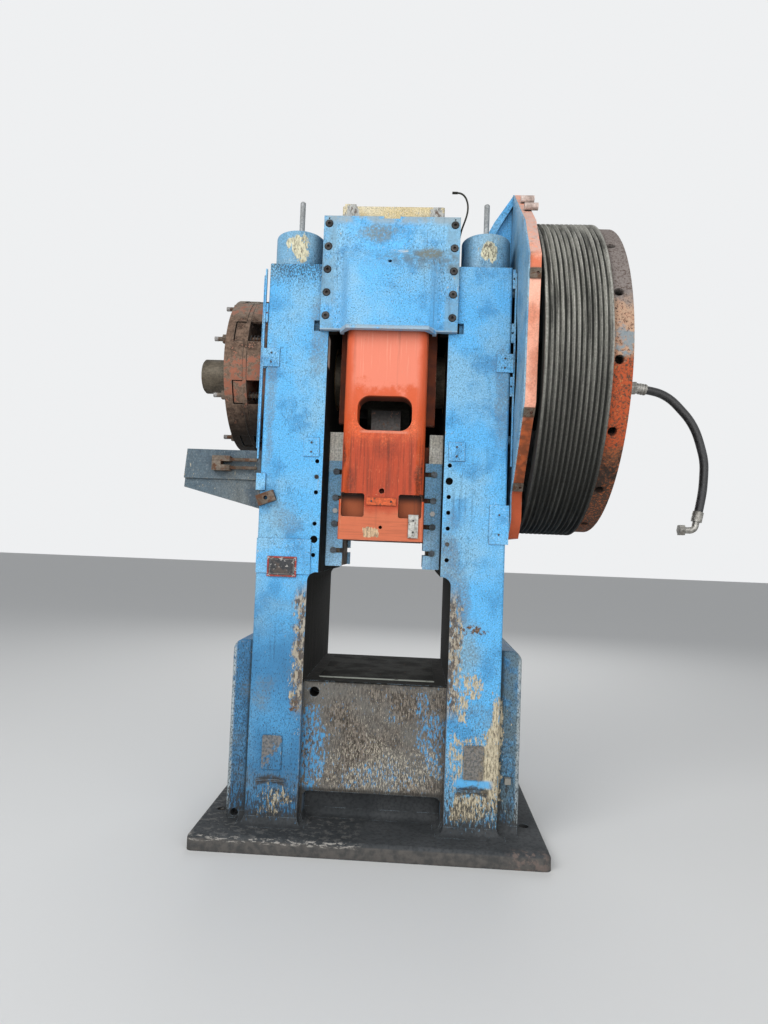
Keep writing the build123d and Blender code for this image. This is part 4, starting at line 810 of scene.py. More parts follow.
@dataclass(frozen=True)
class RamEnamel(Enamel):
    """The ram's orange enamel, bleached at the top and oily below its window."""

    bleached: Color = (0.74, 0.205, 0.125)
    strong: Color = (0.60, 0.085, 0.018)
    soaked: Color = (0.40, 0.042, 0.008)
    scraped: Color = (0.80, 0.34, 0.235)
    pale_sill: Color = (0.70, 0.26, 0.17)
    oil_runs: Color = (0.115, 0.022, 0.008)
    bright_specks: Color = (0.62, 0.16, 0.06)
    dull_foot: Color = (0.56, 0.150, 0.070)
    foot_lines: Color = (0.36, 0.100, 0.050)
    pocket_brown: Color = (0.34, 0.085, 0.030)
    # Painted shadow in the pockets' upper parts.
    pocket_top_shadow: Color = (0.030, 0.012, 0.008)
    back_pale: Color = (0.155, 0.036, 0.012)
    back_dark: Color = (0.075, 0.024, 0.012)
    window_brown: Color = (0.060, 0.028, 0.018)

    def regions(self, surface: Surface) -> None:
        """Bleach the top, keep the sides strong, soak the middle with oil and dull the foot."""
        graph = surface.graph
        wobble = graph.swing(surface.noise(14.0, 6.0, 0.7), 0.26)
        level = graph.total(surface.z, wobble)
        surface.coat(graph.step(level, 2.17, 2.36), self.bleached, 0.55)
        scrape = graph.both(surface.streaks(120.0, 0.56, 0.68), graph.step(surface.z, 2.30, 2.46), 0.35)
        surface.coat(scrape, self.scraped)
        middle = graph.both(graph.step(level, 2.13, 2.00), 0.9)
        surface.coat(middle, self.soaked, 0.5)
        side = graph.step(graph.total(surface.across, graph.both(wobble, 0.14)), 0.152, 0.190)
        surface.coat(graph.both(side, 0.85), self.strong, 0.55)
        rim = graph.both(
            graph.step(level, 2.345, 2.285), graph.step(surface.z, 2.14, 2.17),
            graph.step(surface.across, 0.19, 0.15),
        )
        surface.coat(graph.both(rim, 0.85), self.strong)
        sill = graph.both(
            graph.band(surface.z, 2.080, 2.092, 0.003), graph.step(surface.across, 0.135, 0.105), 0.6
        )
        surface.coat(sill, self.pale_sill)
        runs = graph.both(surface.streaks(64.0, 0.44, 0.64), graph.band(surface.z, 1.76, 2.06, 0.06))
        surface.coat(graph.both(runs, 0.62), self.oil_runs, 0.6)
        fine = graph.both(
            graph.step(surface.drawn((150.0, 150.0, 50.0), 4.0, 0.72), 0.60, 0.67),
            graph.step(surface.z, 2.30, 2.10),
        )
        surface.coat(graph.both(fine, 0.55), self.bright_specks)
        self.foot(surface)
        self.back(surface)

    def foot(self, surface: Surface) -> None:
        """Dull the foot, with lines across it and brown pockets, darker at the top with painted shadow."""
        graph = surface.graph
        foot = graph.step(graph.total(surface.z, graph.both(surface.noise(20.0, 5.0), 0.05)), 1.735, 1.675)
        surface.coat(graph.both(foot, 0.9), self.dull_foot, 0.7)
        lines = graph.both(foot, surface.streaks(150.0, 0.50, 0.66, Axis.X), 0.5)
        surface.coat(lines, self.foot_lines, 0.8)
        pocket = graph.both(
            graph.step(surface.y, -0.541, -0.535), graph.step(surface.z, 1.775, 1.770),
            graph.step(surface.y, -0.485, -0.489),
        )
        # Painted shadow across the upper part of each pocket.
        brown = graph.mix(graph.step(surface.z, 1.715, 1.762), self.pocket_brown, self.pocket_top_shadow)
        surface.coat(pocket, brown, 0.8)

    def back(self, surface: Surface) -> None:
        """Brown what lies behind the front arm."""
        graph = surface.graph
        flanges = graph.step(surface.y, -0.43, -0.41)
        brown = graph.mix(surface.patches(15.0, 0.38, 0.62, 5.0), self.back_pale, self.back_dark)
        surface.coat(graph.both(flanges, 0.92), brown, 0.75)
        inner = graph.both(graph.step(surface.y, -0.541, -0.50), graph.step(surface.across, 0.138, 0.132))
        inner = graph.both(inner, graph.step(surface.z, 2.05, 2.06))
        surface.coat(graph.both(inner, 0.9), self.window_brown, 0.8)


@dataclass(frozen=True)
class StripEnamel(Enamel):
    """The guard's edge: greyish pink at the top, salmon in the middle, brown and then orange below."""

    greyish_pink: Color = (0.56, 0.42, 0.37)
    red_patch: Color = (0.60, 0.115, 0.035)
    brown_pale: Color = (0.42, 0.095, 0.026)
    brown_dark: Color = (0.20, 0.055, 0.020)
    low_orange: Color = (0.48, 0.085, 0.028)
    # Painted shade in corners and holes, with grime.
    corner_dirt_and_shade: Color = (0.030, 0.018, 0.014)

    def regions(self, surface: Surface) -> None:
        """Change the colour from length to length."""
        graph = surface.graph
        wobble = graph.swing(surface.noise(9.0, 5.0), 0.20)
        level = graph.total(surface.z, wobble)
        top = graph.both(graph.step(level, 2.90, 2.98), surface.patches(40.0, 0.30, 0.60, 5.0), 0.85)
        surface.coat(top, self.greyish_pink, 0.8)
        patch = graph.band(level, 2.82, 2.90, 0.02)
        surface.coat(graph.both(patch, 0.8), self.red_patch)
        brown = graph.mix(surface.patches(28.0, 0.36, 0.62, 6.0), self.brown_pale, self.brown_dark)
        surface.coat(graph.step(level, 2.17, 2.10), brown, 0.75)
        low = graph.both(graph.step(level, 1.86, 1.80), 0.85)
        surface.coat(low, self.low_orange, 0.6)
        # Painted shade: grime colour laid in corners and holes where little light reaches.
        surface.coat(graph.both(surface.crevices(0.03, 0.88), 0.9), self.corner_dirt_and_shade, 0.9)


@dataclass(frozen=True)
class Metal:
    """Machined or rolled metal with stains and rust."""

    name: str
    clean: Color
    stained: Color
    rust: Color = (0.135, 0.062, 0.032)
    rusted: float = 0.64
    metallic: float = 0.45
    gloss: float = 0.5
    sheen: float = 0.4
    lay: Axis = Axis.X
    # Black grime, and painted shade in crevices.
    soot_and_shade: Color = (0.012, 0.011, 0.010)

    def build(self) -> bpy.types.Material:
        """Return the finished material."""
        surface = Surface(self.name, self.clean, self.gloss, self.metallic)
        graph = surface.graph
        surface.coat(surface.patches(9.0, 0.38, 0.64, 5.0), self.stained, min(0.9, self.gloss + 0.2))
        surface.grain(90.0, 0.76, 1.16)
        lines = surface.streaks(260.0, 0.42, 0.62, self.lay)
        surface.shade(graph.mix(lines, (0.84,) * 3, (1.10,) * 3))
        surface.rise(lines, 0.12)
        loss = graph.total(surface.noise(26.0, 8.0, 0.66), graph.both(surface.crevices(0.03), 0.14))
        rust = graph.step(loss, self.rusted, self.rusted + 0.06)
        tint = graph.mix(surface.noise(60.0, 4.0), self.rust, scaled(self.rust, 0.45))
        surface.coat(rust, tint, 0.85, 0.1)
        worn = graph.both(surface.edges(0.004), 0.45)
        surface.coat(worn, scaled(self.clean, 1.6), 0.4)
        # Painted shade: black grime laid in crevices where little light reaches.
        surface.coat(graph.both(surface.crevices(0.012, 0.74), 0.8), self.soot_and_shade, 0.9)
        self.regions(surface)
        surface.rise(rust, -0.3)
        surface.rise(surface.noise(34.0, 3.0), 0.5)
        return surface.finish(0.0009, 0.0015, Specular_IOR_Level=self.sheen)

    def regions(self, surface: Surface) -> None:
        """Lay what belongs to one place. Plain pieces have none."""


@dataclass(frozen=True)
class FaceScrews(Metal):
    """The small screws on the frame's faces, the one on the right wing bleached white."""

    bleached: Color = (0.24, 0.235, 0.21)

    def regions(self, surface: Surface) -> None:
        """Bleach the wing's bolt."""
        surface.coat(surface.graph.step(surface.x, 0.660, 0.665), self.bleached, 0.7)


@dataclass(frozen=True)
class GibBolts(Metal):
    """The guides' bolts: grey with grease, and one white bolt on each side."""

    white: Color = (0.80, 0.80, 0.76)

    def regions(self, surface: Surface) -> None:
        """Whiten the two clean bolts."""
        surface.coat(surface.graph.band(surface.z, 1.665, 1.715), self.white, 0.6)


@dataclass(frozen=True)
class LinerIron(Metal):
    """The bed's liner: black with oil, and its front edge rubbed pale."""

    rubbed_edge: Color = (0.34, 0.36, 0.32)

    def regions(self, surface: Surface) -> None:
        """Rub the front edge pale."""
        graph = surface.graph
        edge = graph.both(
            graph.step(surface.y, -0.338, -0.344), graph.step(surface.drawn((14.0, 60.0, 60.0)), 0.36, 0.46)
        )
        surface.coat(graph.both(edge, 0.85), self.rubbed_edge, 0.7)


@dataclass(frozen=True)
class RamPlatesFinish:
    """The plates on the ram: an orange one between the pockets, a pale one at the foot, and a dark block."""

    name: str
    orange: Color = (0.56, 0.095, 0.025)
    pale: Color = (0.50, 0.49, 0.45)
    block: Color = (0.085, 0.082, 0.078)
    # Painted shade at the block's top.
    block_top_shade: Color = (0.010, 0.010, 0.010)
    rust: Color = (0.10, 0.05, 0.03)
    soot_and_shade: Color = (0.012, 0.010, 0.009)

    def build(self) -> bpy.types.Material:
        """Return the finished material."""
        surface = Surface(self.name, self.pale, 0.6)
        graph = surface.graph
        surface.coat(surface.patches(30.0, 0.42, 0.62, 5.0), scaled(self.pale, 0.6))
        surface.coat(graph.step(surface.x, 0.12, 0.11), self.orange, 0.55)
        # Painted shade: the block darkens to black towards its top.
        dark = graph.mix(graph.step(surface.z, 2.13, 2.22), self.block, self.block_top_shade)
        surface.coat(graph.step(surface.y, -0.50, -0.48), dark, 0.8)
        surface.grain(70.0, 0.72, 1.15, 4.0)
        surface.coat(graph.both(surface.patches(55.0, 0.58, 0.64, 5.0), 0.8), self.rust, 0.8)
        # Painted shade: grime colour laid in crevices where little light reaches.
        surface.coat(graph.both(surface.crevices(0.014, 0.74), 0.9), self.soot_and_shade, 0.9)
        surface.rise(surface.noise(60.0, 3.0), 0.5)
        return surface.finish(0.0009, 0.0015, Specular_IOR_Level=0.3)


@dataclass(frozen=True)
class SignPlate:
    """A small sign with a red rim round a dark field. It says nothing."""

    name: str
    middle: tuple[float, float] = (-0.502, 1.379)
    half: tuple[float, float] = (0.076, 0.052)
    rim: float = 0.009
    red: Color = (0.30, 0.035, 0.025)
    dark: Color = (0.030, 0.032, 0.036)
    line_grey: Color = (0.42, 0.40, 0.37)
    scratched: Color = (0.34, 0.33, 0.31)
    rust: Color = (0.10, 0.075, 0.06)

    def build(self) -> bpy.types.Material:
        """Return the finished material."""
        surface = Surface(self.name, self.red, 0.55)
        graph = surface.graph
        off_x = graph.math("ABSOLUTE", graph.total(surface.x, -self.middle[0]))
        off_z = graph.math("ABSOLUTE", graph.total(surface.z, -self.middle[1]))
        inner_x, inner_z = self.half[0] - self.rim, self.half[1] - self.rim
        field_mask = graph.both(
            graph.step(off_x, inner_x + 0.001, inner_x), graph.step(off_z, inner_z + 0.001, inner_z)
        )
        surface.coat(field_mask, self.dark, 0.5)
        line = graph.either(
            graph.band(off_x, inner_x - 0.007, inner_x - 0.005, 0.0008),
            graph.band(off_z, inner_z - 0.007, inner_z - 0.005, 0.0008),
        )
        surface.coat(graph.both(field_mask, line, surface.patches(60.0, 0.36, 0.50), 0.6), self.line_grey)
        surface.grain(90.0, 0.70, 1.2)
        surface.coat(surface.patches(70.0, 0.60, 0.64, 5.0), self.scratched, 0.7)
        surface.coat(graph.both(surface.patches(26.0, 0.52, 0.62, 5.0), 0.7), self.rust, 0.8)
        surface.rise(surface.noise(80.0), 0.3)
        return surface.finish(0.0006, 0.001, Specular_IOR_Level=0.35)


@dataclass(frozen=True)
class Rust:
    """Rusty casting with what is left of its orange paint, dust on top, and black grime and painted shade
    below.
    """

    name: str
    paint: Color = (0.36, 0.135, 0.080)
    cream: Color = (0.26, 0.19, 0.140)
    rust: Color = (0.160, 0.105, 0.074)
    dark: Color = (0.050, 0.028, 0.018)
    dust: Color = (0.225, 0.200, 0.165)
    kept: float = 0.60
    dust_level: float = 2.66
    dark_level: float = 2.16
    corner_dirt_and_shade: Color = (0.014, 0.011, 0.009)
    rubbed: Color = (0.30, 0.25, 0.20)
    soot_and_shade: Color = (0.016, 0.010, 0.006)

    def build(self) -> bpy.types.Material:
        """Return the finished material."""
        surface = Surface(self.name, self.rust, 0.85)
        graph = surface.graph
        surface.coat(surface.patches(26.0, 0.40, 0.64, 6.0), self.dark)
        surface.grain(80.0, 0.70, 1.25, 4.0)
        zones = graph.either(graph.band(surface.z, 2.27, 2.50, 0.05), graph.band(surface.z, 2.74, 2.84, 0.03))
        keep = graph.total(surface.noise(26.0, 8.0, 0.74), graph.both(zones, 0.125))
        surface.coat(graph.step(keep, self.kept - 0.02, self.kept), self.cream, 0.7)
        orange = graph.step(keep, self.kept, self.kept + 0.02)
        surface.coat(orange, graph.mix(surface.noise(40.0, 4.0), self.paint, scaled(self.paint, 0.5)), 0.6)
        surface.rise(orange, 0.4)
        self.weather(surface)
        # Painted shade: grime colour laid in corners where little light reaches.
        surface.coat(graph.both(surface.crevices(0.07, 0.80), 0.75), self.corner_dirt_and_shade, 0.9)
        surface.coat(graph.both(surface.edges(0.005), surface.noise(30.0), 0.8), self.rubbed, 0.7)
        surface.rise(surface.noise(45.0, 5.0, 0.65), 0.7)
        return surface.finish(0.0014, Specular_IOR_Level=0.25)

    def weather(self, surface: Surface) -> None:
        """Lay dust on the upper half, and black grime with painted shade on the lower one."""
        graph = surface.graph
        level = graph.total(surface.z, graph.swing(surface.noise(6.0, 5.0), 0.5))
        dusty = graph.both(
            graph.step(level, self.dust_level, self.dust_level + 0.3), surface.patches(30.0, 0.3, 0.6, 4.0)
        )
        surface.coat(graph.both(dusty, 0.8), self.dust, 0.9)
        # Painted shade: the lower half is laid darker, with black grime.
        sooty_and_shaded = graph.step(level, self.dark_level + 0.16, self.dark_level - 0.12)
        surface.coat(graph.both(sooty_and_shaded, 0.9), self.soot_and_shade, 0.8)


@dataclass(frozen=True)
class GroovedIron:
    """The flywheel: dusty ridges, dark grooves, and a mottled ring on its outer side."""

    name: str
    ridge: Color = (0.300, 0.295, 0.262)
    groove: Color = (0.020, 0.021, 0.018)
    ring_start: float = 1.0585
    rim_radius: float = 0.874
    ring_inner: float = 0.742
    corner_dirt_and_shade: Color = (0.010, 0.010, 0.009)
    low_dark: Color = (0.060, 0.036, 0.024)
    low_rust: Color = (0.190, 0.075, 0.036)
    mauve: Color = (0.225, 0.195, 0.180)
    blue_patch: Color = (0.20, 0.26, 0.29)
    yellow_specks: Color = (0.56, 0.34, 0.12)
    brown_orange: Color = (0.34, 0.095, 0.032)
    soot_and_shade: Color = (0.020, 0.016, 0.013)
    hole_shade_black: Color = (0.008, 0.007, 0.006)
    ring_dark: Color = (0.070, 0.044, 0.034)
    pink: Color = (0.50, 0.25, 0.16)
    cream: Color = (0.46, 0.37, 0.26)
    orange: Color = (0.50, 0.090, 0.026)
    dark_orange: Color = (0.34, 0.062, 0.022)

    def build(self) -> bpy.types.Material:
        """Return the finished material."""
        surface = Surface(self.name, self.groove, 0.7)
        graph = surface.graph
        up = graph.math("SUBTRACT", surface.z, SHAFT_LEVEL)
        squares = graph.total(graph.math("MULTIPLY", surface.y, surface.y), graph.math("MULTIPLY", up, up))
        radius = graph.math("SQRT", squares)
        self.ridges(surface, up, radius)
        self.ring(surface, up, radius)
        # Painted shade in crevices.
        surface.coat(graph.both(surface.crevices(0.012), 0.6), self.corner_dirt_and_shade, 0.9)
        surface.rise(surface.noise(60.0, 4.0), 0.4)
        return surface.finish(0.0011, 0.002, Specular_IOR_Level=0.25)

    def ridges(self, surface: Surface, up: Socket, radius: Socket) -> None:
        """Grey the ridges: palest in front above the middle, with dust and painted light, and near black
        below in painted shade.
        """
        graph = surface.graph
        # Painted light: near black at the bottom, palest above the middle.
        height = graph.step(up, -0.78, 0.30)
        lit_and_shaded_tone = graph.mix(height, scaled(self.ridge, 0.07), self.ridge)
        lit_and_shaded_tone = graph.mix(graph.band(up, 0.05, 0.80, 0.25), lit_and_shaded_tone, scaled(self.ridge, 1.2))
        around = surface.drawn((46.0, 2.4, 2.4), 5.0, 0.66)
        worn = graph.mix(graph.step(around, 0.30, 0.58), scaled(self.ridge, 0.22), lit_and_shaded_tone)
        edge = graph.total(radius, graph.swing(around, 0.010))
        mask = graph.step(edge, self.rim_radius - 0.0175, self.rim_radius - 0.0135)
        surface.coat(mask, worn, 0.8)
        surface.grain(100.0, 0.76, 1.18, 4.0)

    def ring(self, surface: Surface, up: Socket, radius: Socket) -> None:
        """Mottle the outer ring from the top down: mauve grey, cream and pink, orange, and then dark rust
        with painted shade towards the bottom.
        """
        graph = surface.graph
        ring = graph.both(
            graph.step(surface.x, self.ring_start - 0.001, self.ring_start + 0.001),
            graph.step(radius, self.ring_inner - 0.006, self.ring_inner - 0.002),
        )
        wobble = graph.swing(surface.noise(9.0, 7.0, 0.70), 0.42)
        level = graph.total(up, wobble)
        fine = surface.noise(95.0, 6.0, 0.74)
        # Painted shade: the ring is laid darkest at the bottom.
        base = graph.mix(graph.step(level, -0.62, -0.46), self.low_dark, self.low_rust)
        base = graph.mix(graph.step(level, 0.12, 0.20), base, self.mauve)
        surface.coat(ring, graph.mix(graph.step(fine, 0.46, 0.66), base, self.ring_dark), 0.9)
        pink = graph.both(ring, graph.band(level, -0.05, 0.20, 0.06), graph.step(fine, 0.60, 0.50))
        surface.coat(graph.both(pink, 0.9), graph.mix(surface.noise(60.0, 4.0), self.pink, self.cream), 0.8)
        blue = graph.both(ring, graph.band(level, -0.03, 0.05, 0.02), surface.patches(24.0, 0.44, 0.56), 0.85)
        surface.coat(blue, self.blue_patch, 0.8)
        orange = graph.both(ring, graph.band(level, -0.46, -0.07, 0.035), graph.step(fine, 0.59, 0.47))
        surface.coat(orange, graph.mix(surface.noise(50.0, 4.0), self.orange, self.dark_orange), 0.75)
        yellow = graph.both(orange, graph.step(surface.noise(80.0, 5.0, 0.74), 0.60, 0.64), 0.8)
        surface.coat(yellow, self.yellow_specks)
        low = graph.both(ring, graph.step(level, -0.44, -0.50), graph.step(fine, 0.49, 0.43), 0.85)
        surface.coat(low, self.brown_orange, 0.8)
        # Black grime and painted shade in a low band on the ring.
        soot_and_shade = graph.both(
            ring, graph.band(level, -0.64, -0.52, 0.04), surface.patches(40.0, 0.34, 0.56, 4.0), 0.85
        )
        surface.coat(soot_and_shade, self.soot_and_shade, 0.85)
        # Painted shade: holes in the ring are laid black.
        surface.coat(graph.both(ring, surface.crevices(0.06, 0.86)), self.hole_shade_black, 0.9)
        surface.rise(orange, 0.4)


@dataclass(frozen=True)
class Rubber:
    """Black hose rubber, scuffed and dusty on top."""

    name: str
    black: Color = (0.016, 0.016, 0.017)
    dusty: Color = (0.036, 0.036, 0.038)
    rubbed: Color = (0.12, 0.12, 0.115)

    def build(self) -> bpy.types.Material:
        """Return the finished material."""
        surface = Surface(self.name, self.black, 0.42)
        surface.coat(surface.patches(20.0, 0.45, 0.7, 4.0), self.dusty, 0.55)
        surface.coat(surface.graph.both(surface.patches(150.0, 0.62, 0.68), 0.6), self.rubbed, 0.6)
        surface.rise(surface.noise(300.0, 2.0), 0.35)
        return surface.finish(0.0005, 0.001)


@dataclass(frozen=True)
class Cord:
    """The hose's facts and its route, in metres."""

    points: tuple[Place, ...] = (
        (1.49126, 0.0, 2.47261), (1.54558, 0.0, 2.46401), (1.59696, 0.0, 2.44411),
        (1.64446, 0.0, 2.41281), (1.69076, 0.0, 2.36481), (1.74056, 0.0, 2.30871),
        (1.78126, 0.0, 2.23711), (1.80826, 0.0, 2.15291), (1.83076, 0.0, 2.06251),
        (1.82876, 0.0, 1.96591), (1.82156, 0.0, 1.86711), (1.80136, 0.0, 1.77011),
    )
    length: float = 0.8656
    radius: float = 0.024


@dataclass(frozen=True)
class Viewpoint:
    """Where the photographer stood, and the lens."""

    place: Place = (0.1824, -3.959, 1.4995)
    yaw: float = 0.0487
    pitch: float = 0.0518
    roll: float = -0.0387
    focal_length_px: float = 674.1
    long_side_px: float = 1024.0
    sensor_mm: float = 36.0

    def build(self) -> None:
        """Make the camera."""
        data = bpy.data.cameras.new("viewpoint")
        data.sensor_width = self.sensor_mm
        data.lens = self.focal_length_px * self.sensor_mm / self.long_side_px
        camera = show("viewpoint", data)
        turn = Matrix.Rotation(self.yaw, 4, "Z") @ Matrix.Rotation(self.pitch, 4, "X")
        turn = turn @ Matrix.Rotation(self.roll, 4, "Y") @ Matrix.Rotation(pi / 2, 4, "X")
        camera.matrix_world = Matrix.Translation(self.place) @ turn
        bpy.context.scene.camera = camera


@dataclass(frozen=True)
class Lamp:
    """One soft square lamp: its place, what it points at, its side in metres and its power in watts."""

    name: str
    place: Place
    target: Place
    side: float
    power: float

    def build(self) -> None:
        """Hang the lamp."""
        data = bpy.data.lights.new(self.name, "AREA")
        data.shape = "SQUARE"
        data.size = self.side
        data.energy = self.power
        lamp = show(self.name, data)
        lamp.location = self.place
        lamp.rotation_euler = (Vector(self.target) - Vector(self.place)).to_track_quat("-Z", "Y").to_euler()


@dataclass(frozen=True)
class Studio:
    """Pale floor, pale surroundings and soft light."""

    floor: Color = (0.70, 0.70, 0.69)
    pale: Color = (0.86, 0.87, 0.88)
    sky: Color = (0.93, 0.96, 1.0)
    sky_strength: float = 0.40
    floor_side: float = 90.0
    lamps: tuple[Lamp, ...] = (
        Lamp("key", (-4.0, -5.8, 6.2), (0.0, 0.0, 1.9), 4.0, 320.0),
        Lamp("front", (0.6, -7.2, 2.6), (0.1, 0.0, 1.8), 4.5, 180.0),
        Lamp("fill", (4.6, -5.5, 3.6), (0.3, 0.0, 1.7), 4.0, 80.0),
        Lamp("back", (0.5, 6.0, 5.5), (0.0, 0.0, 2.0), 5.0, 180.0),
    )

    def build(self) -> None:
        """Make the floor, the lamps and the world."""
        self.make_floor()
        self.make_world()
        for lamp in self.lamps:
            lamp.build()
        bpy.context.scene.view_settings.view_transform = "Standard"

    def make_floor(self) -> None:
        """Make the floor."""
        mesh = bpy.data.meshes.new("floor")
        half = self.floor_side / 2
        corners = [(-half, -half, 0), (half, -half, 0), (half, half, 0), (-half, half, 0)]
        mesh.from_pydata(corners, [], [(0, 1, 2, 3)])
        floor = show("floor", mesh)
        surface = Surface("studio_floor", self.floor, 0.85)
        surface.rise(surface.noise(30.0), 0.2)
        mesh.materials.append(surface.finish(0.001))

    def make_world(self) -> None:
        """Light the object from all round, and show a pale background to the camera."""
        world = bpy.data.worlds.new("surroundings")
        bpy.context.scene.world = world
        world.use_nodes = True
        world.node_tree.nodes.clear()
        graph = Graph(world.node_tree)
        light = graph.node("ShaderNodeBackground", {"Color": self.sky, "Strength": self.sky_strength})
        seen = graph.node("ShaderNodeBackground", {"Color": self.pale, "Strength": 1.0})
        path = graph.node("ShaderNodeLightPath")
        shown = graph.either(
            path.outputs["Is Camera Ray"], path.outputs["Is Glossy Ray"], path.outputs["Is Transmission Ray"]
        )
        mixed = graph.node("ShaderNodeMixShader", {0: shown, 1: light.outputs[0], 2: seen.outputs[0]})
        graph.node("ShaderNodeOutputWorld", {"Surface": mixed.outputs[0]})


@dataclass
class Finishes:
    """Every material of the press, made once."""

    made: dict[str, bpy.types.Material] = field(default_factory=dict)

    def build(self) -> None:
        """Make the materials by the names that the pieces use."""
        for finish in (*self.blues(), *self.oranges(), *self.metals()):
            self.made[finish.name] = finish.build()
            log.info("finish %s", finish.name)

    def blues(self) -> list[Enamel]:
        """Return the blue and grey-blue enamels."""
        blue = {"fresh": (0.110, 0.420, 0.760), "faded": (0.205, 0.450, 0.660), "deep": (0.062, 0.270, 0.530)}
        dusty = {"fresh": (0.16, 0.36, 0.54), "faded": (0.25, 0.41, 0.52), "deep": (0.085, 0.23, 0.37)}
        grey = {"fresh": (0.080, 0.115, 0.140), "faded": (0.125, 0.145, 0.150), "deep": (0.036, 0.062, 0.090)}
        pale = {"fresh": (0.30, 0.66, 1.0), "faded": (0.44, 0.74, 1.0), "deep": (0.19, 0.56, 0.95)}
        frame_worn = (
            Mark(0.600, 0.370, 0.070, 0.300, 1.0), Mark(0.500, 0.200, 0.130, 0.120, 0.85),
            Mark(0.625, 0.640, 0.045, 0.160, 0.9), Mark(0.420, 0.460, 0.060, 0.180, 0.62),
            Mark(0.494, 0.822, 0.060, 0.080, 0.75), Mark(0.440, 0.690, 0.060, 0.090, 0.7),
            Mark(-0.490, 0.200, 0.120, 0.120, 0.66), Mark(-0.400, 0.860, 0.050, 0.340, 0.55),
            Mark(0.415, 0.960, 0.050, 0.260, 0.6), Mark(0.510, 0.530, 0.090, 0.060, 0.6),
        )
        frame_rusty = (
            Mark(0.488, 1.095, 0.085, 0.040), Mark(0.405, 1.022, 0.035, 0.035),
            Mark(-0.404, 0.668, 0.035, 0.045),
        )
        frame_smudged = (
            Mark(-0.36, 2.62, 0.06, 0.22, 0.5), Mark(0.60, 2.30, 0.05, 0.30, 0.45),
            Mark(-0.50, 1.62, 0.10, 0.10, 0.4),
            Mark(0.36, 1.45, 0.06, 0.20, 0.5), Mark(-0.60, 2.20, 0.03, 0.40, 0.45),
            Mark(0.42, 1.20, 0.05, 0.22, 0.5),
        )
        nut_worn = (
            Mark(-0.495, 3.06, 0.050, 0.078, 1.2), Mark(0.503, 3.06, 0.046, 0.062, 1.3),
            Mark(-0.54, 3.09, 0.03, 0.03, 0.9),
        )
        cover_smudged = (Mark(-0.05, 3.14, 0.12, 0.06, 0.75), Mark(0.20, 3.016, 0.07, 0.05, 0.9))
        return [
            FrameEnamel(
                "frame_enamel", **blue, sheen=0.16, worn=frame_worn, rusty=frame_rusty, smudged_and_shaded=frame_smudged
            ),
            Enamel("plate_enamel", **blue, wear=0.10, speckle=0.8),
            CoverEnamel(
                "cover_enamel", **blue, wear=0.04, speckle=0.9, smudged_and_shaded=cover_smudged,
                smudge_and_shade=(0.17, 0.18, 0.145),
            ),
            Enamel(
                "nut_enamel", **dusty, wear=0.16, speckle=0.8, worn=nut_worn, front=-0.44,
                undercoat=(0.66, 0.62, 0.44),
            ),
            Enamel("guard_enamel", **dusty, wear=0.28),
            Enamel("guide_enamel", **pale, wear=0.12, streak=0.3, speckle=0.35, shadow=0.12),
            Enamel("bracket_enamel", **grey, wear=0.22, speckle=0.9, pale_fleck=(0.26, 0.29, 0.30)),
        ]

    def oranges(self) -> list[Any]:
        """Return the orange and cream enamels and the rusty castings."""
        orange = {"fresh": (0.64, 0.100, 0.024), "faded": (0.66, 0.135, 0.048), "deep": (0.44, 0.055, 0.012)}
        coral = {"fresh": (0.80, 0.340, 0.225), "faded": (0.86, 0.440, 0.320), "deep": (0.60, 0.200, 0.110)}
        cream = {"fresh": (0.62, 0.50, 0.27), "faded": (0.66, 0.60, 0.44), "deep": (0.40, 0.30, 0.15)}
        marks = {
            "fleck": (0.13, 0.028, 0.012), "pale_fleck": (0.86, 0.44, 0.30), "bare": (0.10, 0.045, 0.028)
        }
        # Painted shade down the ram's flares at both lower corners, and an oil smudge below the window.
        ram_flare_shade_and_smudge = (
            Mark(-0.212, 1.960, 0.020, 0.130, 0.9), Mark(-0.165, 1.840, 0.022, 0.090, 0.45),
            Mark(0.212, 1.960, 0.020, 0.140, 1.0), Mark(0.185, 1.840, 0.024, 0.090, 0.6),
            Mark(0.0, 1.99, 0.08, 0.06, 0.3),
        )
        cap_worn = (Mark(-0.225, 3.27, 0.050, 0.09, 0.9), Mark(0.235, 3.27, 0.055, 0.09, 0.9))
        return [
            RamEnamel(
                "ram_enamel", **orange, **marks, wear=0.0, speckle=0.35, undercoat=(0.60, 0.42, 0.26),
                front=-0.53, worn=(Mark(-0.045, 1.570, 0.052, 0.030, 1.3),),
                smudged_and_shaded=ram_flare_shade_and_smudge, smudge_and_shade=(0.028, 0.012, 0.008),
            ),
            StripEnamel("strip_enamel", **coral, **marks, wear=0.05, speckle=0.22, uneven=(0.90, 1.08)),
            Enamel(
                "cap_enamel", **cream, wear=0.22, fleck=(0.10, 0.07, 0.04), pale_fleck=(0.62, 0.60, 0.54),
                undercoat=(0.46, 0.46, 0.43), bare=(0.13, 0.07, 0.04), worn=cap_worn, speckle=0.9, front=0.6,
                # Painted shade: a black patch stands for the shade in the cap's notch.
                smudged_and_shaded=(Mark(0.003, 3.222, 0.044, 0.014, 1.7),), smudge_and_shade=(0.020, 0.018, 0.015),
            ),
            Rust("brake_rust"),
            Rust("clutch_rust", kept=0.53, dust_level=3.1, dark_level=2.0),
            GroovedIron("wheel_iron"),
            Metal(
                "boss_steel", (0.66, 0.55, 0.50), (0.50, 0.38, 0.33), rusted=0.64, metallic=0.0, gloss=0.7,
                sheen=0.3
            ),
        ]

